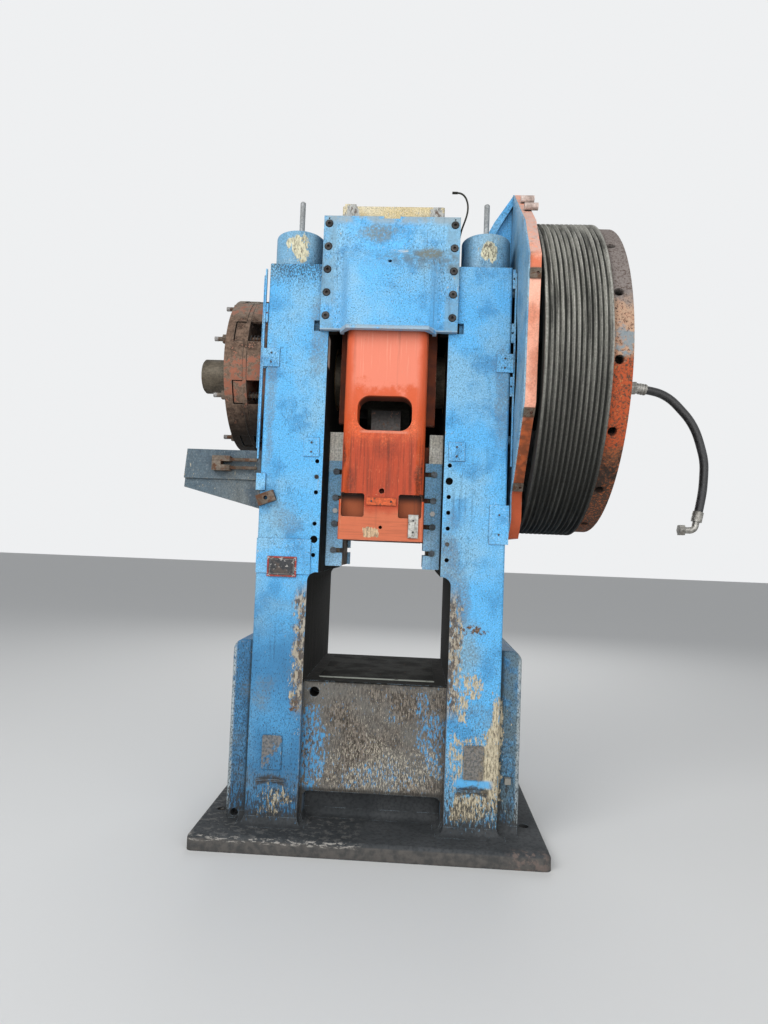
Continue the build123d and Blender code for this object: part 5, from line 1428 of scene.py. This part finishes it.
    def metals(self) -> list[Any]:
        """Return the metals, the linings, the sign and the rubber."""
        return [
            RamPlatesFinish("ram_plates_finish"),
            SignPlate("sign_plate"),
            Metal("bare_steel", (0.40, 0.39, 0.36), (0.24, 0.225, 0.20), metallic=0.8, gloss=0.42),
            GibBolts("gib_bolts", (0.20, 0.24, 0.27), (0.11, 0.13, 0.145), metallic=0.1, gloss=0.6),
            FaceScrews(
                "face_screw_steel", (0.070, 0.068, 0.066), (0.032, 0.030, 0.028), metallic=0.2, gloss=0.6,
                sheen=0.3,
            ),
            LinerIron(
                "liner_iron", (0.022, 0.023, 0.020), (0.010, 0.010, 0.009), metallic=0.0, gloss=0.8,
                sheen=0.06,
            ),
            Metal(
                "dark_steel", (0.070, 0.068, 0.066), (0.032, 0.030, 0.028), metallic=0.3, gloss=0.6, sheen=0.3
            ),
            Metal(
                "oiled_iron", (0.038, 0.039, 0.032), (0.018, 0.018, 0.015), metallic=0.1, gloss=0.72,
                sheen=0.22,
            ),
            Metal(
                "shaft_steel", (0.130, 0.108, 0.078), (0.070, 0.058, 0.042), metallic=0.25, gloss=0.55,
                sheen=0.3,
            ),
            Metal("stud_steel", (0.46, 0.47, 0.47), (0.30, 0.31, 0.31), rusted=0.66, metallic=0.2, gloss=0.6),
            Metal(
                "rusty_steel", (0.17, 0.135, 0.105), (0.10, 0.075, 0.055), rusted=0.50, metallic=0.2,
                gloss=0.7,
            ),
            Metal(
                "guide_steel", (0.98, 0.97, 0.88), (0.86, 0.84, 0.74), rusted=0.70, metallic=0.0, gloss=0.6,
                lay=Axis.Z,
            ),
            Metal(
                "oiled_bronze", (0.15, 0.105, 0.060), (0.050, 0.038, 0.026), rusted=0.70, metallic=0.3,
                gloss=0.6,
            ),
            Metal("bronze", (0.52, 0.36, 0.18), (0.30, 0.20, 0.10), rusted=0.70, metallic=0.9),
            Metal("lining", (0.15, 0.135, 0.12), (0.08, 0.07, 0.06), metallic=0.05, gloss=0.8),
            Rubber("hose_rubber"),
        ]

    def __getitem__(self, name: str) -> bpy.types.Material:
        """Return the material of that name."""
        return self.made[name]


@dataclass
class Press:
    """What every sub-assembly shares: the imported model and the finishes."""

    frame: dict[str, Any]
    finishes: Finishes

    def body_of(self, node: str) -> str:
        """Return the body that a node belongs to."""
        bodies = self.frame["record"]["behaviour"]["bodies"]
        return next(name for name, members in bodies.items() if node in members)

    def paint(self, node: str, finish: str, smooth_angle: float = SMOOTH_ANGLE) -> bpy.types.Object:
        """Give a node its finish where it stands, and shade its round faces smooth.

        Args:
            node: The CAD node.
            finish: The material's name.
            smooth_angle: Edges sharper than this stay sharp, in degrees.

        Returns:
            The node's own object.
        """
        piece = self.frame["nodes"][node]
        piece.data.materials.clear()
        piece.data.materials.append(self.finishes[finish])
        recipe = Recipe(node + "_smoothing", takes_mesh=True)
        graph = recipe.graph
        inputs = {"Geometry": recipe.mesh, "Distance": MERGE_DISTANCE}
        merged = graph.node("GeometryNodeMergeByDistance", inputs).outputs[0]
        angle = graph.node("GeometryNodeInputMeshEdgeAngle").outputs["Unsigned Angle"]
        sharp = graph.node("FunctionNodeCompare", {0: angle, 1: radians(smooth_angle)}).outputs[0]
        inputs = {"Geometry": merged, "Shade Smooth": True}
        faces = graph.node("GeometryNodeSetShadeSmooth", inputs).outputs[0]
        inputs = {"Geometry": faces, "Selection": sharp, "Shade Smooth": False}
        edges = graph.node("GeometryNodeSetShadeSmooth", inputs, domain="EDGE").outputs[0]
        graph.node("NodeGroupOutput", {0: edges})
        piece.modifiers.new("smoothing", "NODES").node_group = recipe.tree
        return piece

    def dress(self, node: str, finish: str, smooth_angle: float = SMOOTH_ANGLE) -> bpy.types.Object:
        """Stand a clean copy of a node in its place: merged, smooth where it is round, and with its finish.

        Args:
            node: The CAD node.
            finish: The material's name.
            smooth_angle: Edges sharper than this stay sharp, in degrees.

        Returns:
            The piece that stands for the node.
        """
        shape = bmesh.new()
        shape.from_mesh(self.frame["nodes"][node].data)
        bmesh.ops.remove_doubles(shape, verts=shape.verts, dist=MERGE_DISTANCE)
        flat = radians(FLAT_ANGLE)
        bmesh.ops.dissolve_limit(shape, angle_limit=flat, verts=shape.verts, edges=shape.edges)
        piece = show_smooth(shape, node + "_skin", self.finishes[finish], smooth_angle)
        weighted = piece.modifiers.new("flat_faces_stay_flat", "WEIGHTED_NORMAL")
        weighted.keep_sharp = True
        return self.settle(piece, node, stands_for=True)

    def settle(self, piece: bpy.types.Object, node: str, stands_for: bool) -> bpy.types.Object:
        """Let a piece move with a node, and hide the node when the piece takes its place.

        Args:
            piece: The piece.
            node: The node that it belongs to.
            stands_for: Whether it takes the node's place.

        Returns:
            The same piece.
        """
        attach(piece, self.body_of(node))
        if stands_for:
            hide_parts(node)
        if piece.type == "MESH":
            log.info("piece %s: %d faces", piece.name, len(piece.data.polygons))
        return piece

    def ends(self, node: str, axis: Axis, level: float) -> list[Vector]:
        """Return the middles of a node's round ends.

        Args:
            node: The CAD node.
            axis: The direction that its rounds run along.
            level: Where the ends are on that axis.

        Returns:
            One middle for each end.
        """
        groups: list[list[Vector]] = []
        for vertex in self.frame["nodes"][node].data.vertices:
            place = vertex.co.copy()
            if abs(place[axis.value] - level) > END_TOLERANCE:
                continue
            home = next((group for group in groups if (group[0] - place).length < END_REACH), None)
            if home is None:
                groups.append([place])
            else:
                home.append(place)
        middles = []
        for group in groups:
            low = Vector([min(place[i] for place in group) for i in range(3)])
            high = Vector([max(place[i] for place in group) for i in range(3)])
            middles.append((low + high) / 2)
        return middles


class Recipe:
    """A geometry tree with named sizes, which is turned into one plain mesh."""

    def __init__(self, name: str, takes_mesh: bool = False) -> None:
        """Start a tree.

        Args:
            name: What the tree makes.
            takes_mesh: Whether it works on a mesh.
        """
        self.name = name
        self.tree = bpy.data.node_groups.new(name, "GeometryNodeTree")
        self.graph = Graph(self.tree)
        self.values: dict[str, float] = {}
        if takes_mesh:
            self.tree.interface.new_socket("Geometry", in_out="INPUT", socket_type="NodeSocketGeometry")
        self.tree.interface.new_socket("Geometry", in_out="OUTPUT", socket_type="NodeSocketGeometry")
        self.start = self.graph.node("NodeGroupInput")
        self.mesh = self.start.outputs[0] if takes_mesh else None

    def size(self, name: str, value: float) -> Socket:
        """Add a named size.

        Args:
            name: Its name.
            value: What it is for this piece, in metres or in turns.

        Returns:
            The socket that gives it inside the tree.
        """
        socket = self.tree.interface.new_socket(name, in_out="INPUT", socket_type="NodeSocketFloat")
        self.values[socket.identifier] = value
        return next(out for out in self.start.outputs if out.identifier == socket.identifier)

    def random(self, low: Value, high: Value, seed: int, kind: str = "FLOAT_VECTOR") -> Socket:
        """Give each point a random value.

        Args:
            low: The lowest value.
            high: The highest value.
            seed: The fixed seed.
            kind: The type of the value.

        Returns:
            The socket with the value.
        """
        made = self.graph.node("FunctionNodeRandomValue", data_type=kind)
        sockets = [socket for socket in made.inputs if socket.enabled]
        by_name = {socket.name: socket for socket in sockets}
        self.graph.feed(by_name["Min"], low)
        self.graph.feed(by_name["Max"], high)
        self.graph.feed(by_name["Seed"], seed)
        return next(socket for socket in made.outputs if socket.enabled)

    def bake(
        self, result: Socket, material: bpy.types.Material, places: list[Vector], joined: bool = False
    ) -> bpy.types.Object:
        """End the tree and turn its result into a plain mesh.

        Args:
            result: The geometry to keep.
            material: Its finish.
            places: The points that the tree works on.
            joined: Whether each point is joined to the next.

        Returns:
            The finished piece.
        """
        graph = self.graph
        real = graph.node("GeometryNodeRealizeInstances", {"Geometry": result}).outputs[0]
        dressed = graph.node("GeometryNodeSetMaterial", {"Geometry": real, "Material": material}).outputs[0]
        graph.node("NodeGroupOutput", {0: dressed})
        base = bpy.data.meshes.new(self.name + "_places")
        links = [(i, i + 1) for i in range(len(places) - 1)] if joined else []
        base.from_pydata([tuple(place) for place in places], links, [])
        host = show(self.name + "_host", base)
        modifier = host.modifiers.new(self.name, "NODES")
        modifier.node_group = self.tree
        for identifier, value in self.values.items():
            modifier[identifier] = value
        reader = bpy.context.evaluated_depsgraph_get()
        mesh = bpy.data.meshes.new_from_object(host.evaluated_get(reader), depsgraph=reader)
        mesh.name = self.name
        bpy.data.objects.remove(host)
        bpy.data.meshes.remove(base)
        bpy.data.node_groups.remove(self.tree)
        return show(self.name, mesh)


@dataclass(frozen=True)
class Helix:
    """A coil of round or thread-shaped wire."""

    radius: float
    wire: float
    height: float
    turns: float
    steps: int = 20
    sides: int = 8
    axis: Axis = Axis.Z

    def build(self, name: str, places: list[Vector], material: bpy.types.Material) -> bpy.types.Object:
        """Make one coil at each place.

        Args:
            name: The piece's name.
            places: Where the coils start.
            material: Their finish.

        Returns:
            All the coils as one mesh.
        """
        recipe = Recipe(name, takes_mesh=True)
        graph = recipe.graph
        radius = recipe.size("Coil radius", self.radius)
        line = graph.node("GeometryNodeCurveSpiral", {
            "Resolution": self.steps, "Rotations": recipe.size("Turns", self.turns), "Start Radius": radius,
            "End Radius": radius, "Height": recipe.size("Length", self.height),
        }).outputs[0]
        inputs = {"Resolution": self.sides, "Radius": recipe.size("Wire radius", self.wire)}
        ring = graph.node("GeometryNodeCurvePrimitiveCircle", inputs).outputs[0]
        wire = graph.node("GeometryNodeCurveToMesh", {0: line, 1: ring, "Fill Caps": True}).outputs[0]
        inputs = {"Points": recipe.mesh, "Instance": wire}
        if self.axis is Axis.X:
            inputs["Rotation"] = (0.0, pi / 2, 0.0)
        coils = graph.node("GeometryNodeInstanceOnPoints", inputs).outputs[0]
        return recipe.bake(coils, material, places)


@dataclass(frozen=True)
class Lumps:
    """A row of overlapping lumps along a line, such as a weld's bead or a bank of old grease."""

    size: float
    spacing: float
    flat: float = 0.6
    scatter: float = 0.3
    seed: int = 3

    def build(self, name: str, line: list[Vector], material: bpy.types.Material) -> bpy.types.Object:
        """Make the row along a line.

        Args:
            name: The piece's name.
            line: The line's corners.
            material: The finish.

        Returns:
            The row as one mesh.
        """
        recipe = Recipe(name, takes_mesh=True)
        graph = recipe.graph
        size = recipe.size("Lump radius", self.size)
        curve = graph.node("GeometryNodeMeshToCurve", {0: recipe.mesh}).outputs[0]
        inputs = {"Curve": curve, "Length": recipe.size("Spacing", self.spacing)}
        points = graph.node("GeometryNodeResampleCurve", inputs, mode="LENGTH").outputs[0]
        off = self.scatter * self.size
        shift = recipe.random((-off, -off, -off * self.flat), (off, off, off * self.flat), self.seed)
        moved = graph.node("GeometryNodeSetPosition", {"Geometry": points, "Offset": shift}).outputs[0]
        lump = graph.node("GeometryNodeMeshIcoSphere", {"Radius": size, "Subdivisions": 2}).outputs[0]
        smooth = graph.node("GeometryNodeSetShadeSmooth", {"Geometry": lump, "Shade Smooth": True}).outputs[0]
        low, high = 1.0 - 1.4 * self.scatter, 1.0 + self.scatter
        scale = recipe.random((low, low, low * self.flat), (high, high, high * self.flat), self.seed + 4)
        turn = recipe.random((-0.3, -0.3, -3.0), (0.3, 0.3, 3.0), self.seed + 8)
        inputs = {"Points": moved, "Instance": smooth, "Scale": scale, "Rotation": turn}
        row = graph.node("GeometryNodeInstanceOnPoints", inputs).outputs[0]
        return recipe.bake(row, material, line, joined=True)


@dataclass
class Assembly:
    """A sub-assembly: the finish of each of its nodes, and the details that it adds to them."""

    press: Press
    looks: ClassVar[dict[str, str]] = {}

    def build(self) -> None:
        """Dress the nodes, and add the details."""
        for node, finish in self.looks.items():
            self.press.dress(node, finish)
        self.details()

    def details(self) -> None:
        """Add threads, welds and the like. Plain assemblies have none."""

    def add(self, maker: Helix | Lumps, name: str, line: list[Vector], finish: str, node: str) -> None:
        """Add a piece beside a node.

        Args:
            maker: What makes it.
            name: The piece's name.
            line: The points that it is made on.
            finish: Its material's name.
            node: The node that it moves with.
        """
        piece = maker.build(name, line, self.press.finishes[finish])
        self.press.settle(piece, node, stands_for=False)


@dataclass
class FrameBody(Assembly):
    """The one-piece frame, what is screwed to its faces, and the old grease at its foot."""

    looks: ClassVar[dict[str, str]] = {
        "frame": "frame_enamel", "small_plates": "plate_enamel", "rear_hatch": "plate_enamel",
        "side_strips": "plate_enamel", "hatch_screws": "dark_steel", "face_screws": "face_screw_steel",
        "nameplate": "sign_plate", "hook_lug": "rusty_steel", "lube_pipe": "oiled_iron",
        "bed_liner": "liner_iron",
    }
    grease_size: float = 0.011
    grease_spacing: float = 0.009
    foot_front: float = -0.503
    recess_side: float = 0.352
    recess_back: float = -0.334
    rivet_radius: float = 0.0035
    bed_front: float = -0.440
    upright_front: float = -0.500
    space_front: float = -0.442
    toe_side: float = 0.356
    toe_back: float = -0.331
    cove_radius: float = 0.040
    cove_angle: float = 40.0
    cove_skirt: float = -0.002
    cove_end: float = -0.680
    cove_right_end: float = 0.745

    def details(self) -> None:
        """Cove the foot, bank the grease and rivet the sign."""
        self.cove()
        self.grease()
        self.rivets()

    def cove(self) -> None:
        """Fill the corner between the flange and everything that stands on it."""
        half = [
            (self.cove_end, self.bed_front), (-UPRIGHT_SIDE, self.bed_front),
            (-UPRIGHT_SIDE, self.upright_front), (-DIE_SIDE, self.upright_front),
            (-DIE_SIDE, self.space_front), (-self.toe_side, self.space_front),
            (-self.toe_side, self.toe_back),
        ]
        line = half + [(-x, y) for x, y in reversed(half)]
        line[-1] = (self.cove_right_end, line[-1][1])
        outline = [(self.cove_radius, 0.0)]
        for step in range(1, 8):
            angle = step / 8 * pi / 2
            outline.append((self.cove_radius * (1 - sin(angle)), self.cove_radius * (1 - cos(angle))))
        outline += [
            (0.0, self.cove_radius), (self.cove_skirt, self.cove_radius),
            (self.cove_skirt, self.cove_skirt), (self.cove_radius, self.cove_skirt),
        ]
        shape = bmesh.new()
        rows = []
        for index, (x, y) in enumerate(line):
            way = self.mitre(line, index)
            rows.append(
                [shape.verts.new((x + way.x * out, y + way.y * out, FLANGE_TOP + up)) for out, up in outline]
            )
        count = len(outline)
        for first, second in zip(rows, rows[1:]):
            for i in range(count):
                shape.faces.new((first[i], first[(i + 1) % count], second[(i + 1) % count], second[i]))
        shape.faces.new(rows[0])
        shape.faces.new(rows[-1][::-1])
        bmesh.ops.recalc_face_normals(shape, faces=shape.faces)
        piece = show_smooth(shape, "foot_cove", self.press.finishes["frame_enamel"], self.cove_angle)
        self.press.settle(piece, "frame", stands_for=False)

    @staticmethod
    def mitre(line: list[tuple[float, float]], index: int) -> Vector:
        """Return which way, and how far for each metre of its width, a strip reaches out at a corner.

        Args:
            line: The corners that the strip follows from left to right.
            index: Which corner it is.

        Returns:
            The direction, longer than 1 at a corner.
        """
        sides = []
        for i in (index - 1, index):
            if 0 <= i < len(line) - 1:
                along = (Vector(line[i + 1]) - Vector(line[i])).normalized()
                sides.append(Vector((along.y, -along.x)))
        if len(sides) == 1:
            return sides[0]
        return (sides[0] + sides[1]) / (1 + sides[0].dot(sides[1]))

    def grease(self) -> None:
        """Bank grease where the uprights and the toe recess meet the flange."""
        level = FLANGE_TOP + 0.1 * self.grease_size
        for side, name in ((-1, "grease_left"), (1, "grease_right")):
            line = [
                Vector((side * (UPRIGHT_SIDE - 0.01), self.foot_front, level)),
                Vector((side * (self.recess_side + 0.02), self.foot_front, level)),
                Vector((side * (self.recess_side + 0.014), -0.455, level)),
            ]
            bank = Lumps(self.grease_size, self.grease_spacing, flat=0.55, seed=5 + side)
            self.add(bank, name, line, "oiled_iron", "frame")
        line = [
            Vector((-self.recess_side, self.recess_back, level)),
            Vector((self.recess_side, self.recess_back, level)),
        ]
        bank = Lumps(self.grease_size, self.grease_spacing, flat=0.55, seed=11)
        self.add(bank, "grease_recess", line, "oiled_iron", "frame")

    def rivets(self) -> None:
        """Set a rivet in each corner of the sign."""
        low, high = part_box("nameplate")
        inset = 2.2 * self.rivet_radius
        places = [
            Vector((x, low[1] - 0.0004, z))
            for x in (low[0] + inset, high[0] - inset) for z in (low[2] + inset, high[2] - inset)
        ]
        recipe = Recipe("sign_rivets", takes_mesh=True)
        graph = recipe.graph
        inputs = {"Segments": 16, "Rings": 8, "Radius": recipe.size("Rivet radius", self.rivet_radius)}
        ball = graph.node("GeometryNodeMeshUVSphere", inputs).outputs[0]
        smooth = graph.node("GeometryNodeSetShadeSmooth", {"Geometry": ball, "Shade Smooth": True}).outputs[0]
        inputs = {"Points": recipe.mesh, "Instance": smooth, "Scale": (1.0, 0.5, 1.0)}
        heads = graph.node("GeometryNodeInstanceOnPoints", inputs).outputs[0]
        piece = recipe.bake(heads, self.press.finishes["stud_steel"], places)
        self.press.settle(piece, "nameplate", stands_for=False)


@dataclass
class TieRods(Assembly):
    """The four tie rods with their nuts and lifting studs."""

    looks: ClassVar[dict[str, str]] = {
        "tie_rods": "dark_steel", "tie_rod_nuts": "nut_enamel", "anchor_nuts": "dark_steel",
        "lifting_studs": "stud_steel",
    }
    stud_radius: float = 0.014
    thread_depth: float = 0.0012
    thread_pitch: float = 0.006
    nut_gap: float = 0.002
    thread_gaps: float = 0.006

    def details(self) -> None:
        """Cut the studs' threads."""
        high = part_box("lifting_studs")[1][2]
        nut_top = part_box("tie_rod_nuts")[1][2]
        tops = self.press.ends("lifting_studs", Axis.Z, high)
        length = high - nut_top - self.thread_gaps
        places = [Vector((top.x, top.y, nut_top + self.nut_gap)) for top in tops]
        thread = Helix(
            self.stud_radius, self.thread_depth, length, length / self.thread_pitch, steps=18, sides=5
        )
        self.add(thread, "stud_threads", places, "stud_steel", "lifting_studs")


@dataclass
class Crown(Assembly):
    """The bolted front cover and the cap on the crown."""

    looks: ClassVar[dict[str, str]] = {
        "front_cover": "cover_enamel", "cover_screws": "dark_steel", "crown_cap": "cap_enamel",
    }


@dataclass
class Guides(Assembly):
    """The bronze guides, the bare ones above them, and the plates that hold them."""

    looks: ClassVar[dict[str, str]] = {
        "side_gibs": "oiled_bronze", "upper_gibs": "guide_steel", "gib_plates": "guide_enamel",
        "gib_screws": "gib_bolts",
    }


@dataclass
class Ram(Assembly):
    """The ram with its plates and the pin that the pitman pushes on."""

    looks: ClassVar[dict[str, str]] = {
        "ram": "ram_enamel", "ram_plates": "ram_plates_finish", "ram_plate_screws": "dark_steel",
        "wrist_pin": "bare_steel", "pin_keepers": "dark_steel",
    }


@dataclass
class Drive(Assembly):
    """The shaft in its bushes, and the pitman on its eccentric."""

    looks: ClassVar[dict[str, str]] = {
        "main_shaft": "shaft_steel", "eccentric": "shaft_steel", "eccentric_key": "bare_steel",
        "main_bushes": "bronze", "pitman": "oiled_iron", "pitman_bush": "bronze",
    }


@dataclass
class Brake(Assembly):
    """The spring-set brake on the shaft's left end."""

    looks: ClassVar[dict[str, str]] = {
        "brake_anchor": "brake_rust", "brake_spring_ring": "brake_rust", "brake_housing": "brake_rust",
        "brake_pressure_plate": "brake_rust", "brake_disc": "lining", "brake_studs": "rusty_steel",
    }
    coil_radius: float = 0.0215
    wire_radius: float = 0.0025
    coil_turns: float = 5.0
    stud_radius: float = 0.012
    stud_tail: float = 0.020
    thread_depth: float = 0.0011
    thread_pitch: float = 0.0035

    def details(self) -> None:
        """Wind the springs and cut the studs' threads."""
        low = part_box("brake_studs")[0][0]
        tips = self.press.ends("brake_studs", Axis.X, low)
        self.springs(tips)
        places = [Vector((low + 0.001, tip.y, tip.z)) for tip in tips]
        turns = self.stud_tail / self.thread_pitch
        thread = Helix(
            self.stud_radius, self.thread_depth, self.stud_tail, turns, steps=18, sides=5, axis=Axis.X
        )
        self.add(thread, "brake_stud_threads", places, "stud_steel", "brake_studs")

    def springs(self, tips: list[Vector]) -> None:
        """Wind one spring round each stud.

        Args:
            tips: The studs' ends.
        """
        low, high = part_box("brake_springs")
        start = low[0] + self.wire_radius
        length = high[0] - low[0] - 2 * self.wire_radius
        coil = Helix(
            self.coil_radius, self.wire_radius, length, self.coil_turns, steps=32, sides=12, axis=Axis.X
        )
        places = [Vector((start, tip.y, tip.z)) for tip in tips]
        piece = coil.build("brake_coils", places, self.press.finishes["dark_steel"])
        piece.data.shade_smooth()
        self.press.settle(piece, "brake_springs", stands_for=True)


@dataclass
class Wheel(Assembly):
    """The grooved flywheel with the clutch in its side."""

    looks: ClassVar[dict[str, str]] = {
        "flywheel": "wheel_iron", "flywheel_bearings": "bare_steel", "clutch_drum": "clutch_rust",
        "clutch_cover": "clutch_rust", "clutch_cover_screws": "dark_steel", "clutch_hub": "shaft_steel",
        "clutch_disc": "lining", "clutch_plate": "dark_steel",
    }


@dataclass
class Guard(Assembly):
    """The flywheel's guard plate with its edge, tabs, bosses and stays."""

    looks: ClassVar[dict[str, str]] = {
        "guard_plate": "guard_enamel", "guard_strip": "strip_enamel", "guard_tabs": "rusty_steel",
        "guard_bosses": "boss_steel", "guard_gussets": "plate_enamel", "guard_standoffs": "guard_enamel",
    }
    bead_size: float = 0.0045
    bead_spacing: float = 0.0045
    weld_gap: float = 0.001
    weld_inset: float = 0.04

    def details(self) -> None:
        """Weld the strip on."""
        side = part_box("guard_plate")[0][0]
        low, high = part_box("guard_standoffs")
        line = [
            Vector((side - self.weld_gap, low[1] - self.weld_gap, z))
            for z in (high[2] - self.weld_inset, low[2] + self.weld_inset)
        ]
        bead = Lumps(self.bead_size, self.bead_spacing, flat=1.0, seed=21)
        self.add(bead, "guard_weld", line, "guard_enamel", "guard_standoffs")


@dataclass
class Bracket(Assembly):
    """The bracket on the left upright with the air valve on it."""

    looks: ClassVar[dict[str, str]] = {"side_bracket": "bracket_enamel", "bracket_valve": "rusty_steel"}
    bead_size: float = 0.005
    bead_spacing: float = 0.005

    def details(self) -> None:
        """Weld the bracket to the upright."""
        low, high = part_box("side_bracket")
        line = [Vector((-UPRIGHT_SIDE - 0.002, low[1] - 0.001, z)) for z in (high[2] - 0.01, low[2] + 0.01)]
        bead = Lumps(self.bead_size, self.bead_spacing, flat=1.0, seed=27)
        self.add(bead, "bracket_weld", line, "bracket_enamel", "side_bracket")


@dataclass
class AirFeed(Assembly):
    """The rotary union with its hose."""

    looks: ClassVar[dict[str, str]] = {
        "union_rotor": "bare_steel", "union_body": "bare_steel", "hose_coupling": "bare_steel",
    }
    cord: Cord = Cord()

    def details(self) -> None:
        """Make the hose with its fitting."""
        self.hose(self.press.paint("hose_end", "bare_steel"))

    def hose(self, end: bpy.types.Object) -> None:
        """Make the hose along its route.

        Args:
            end: The fitting at its hanging end; not used.
        """
        curve = bpy.data.curves.new("air_hose_line", "CURVE")
        curve.dimensions = "3D"
        curve.bevel_depth = self.cord.radius
        curve.bevel_resolution = 8
        curve.use_fill_caps = True
        spline = curve.splines.new("NURBS")
        spline.points.add(len(self.cord.points) - 1)
        for point, place in zip(spline.points, self.cord.points):
            point.co = (*place, 1.0)
        spline.order_u = 3
        spline.use_endpoint_u = True
        spline.resolution_u = 16
        curve.materials.append(self.press.finishes["hose_rubber"])
        hose = self.press.settle(show("air_hose_line", curve), "air_hose", stands_for=True)


def main() -> None:
    """Build the scene."""
    logging.basicConfig(level=logging.INFO, format="%(message)s")
    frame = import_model()
    Viewpoint().build()
    finishes = Finishes()
    finishes.build()
    press = Press(frame, finishes)
    for assembly in (AirFeed, FrameBody, TieRods, Crown, Guides, Ram, Drive, Brake, Wheel, Guard, Bracket):
        log.info("assembly %s", assembly.__name__)
        assembly(press).build()
    Studio().build()


if __name__ == "__main__":
    main()
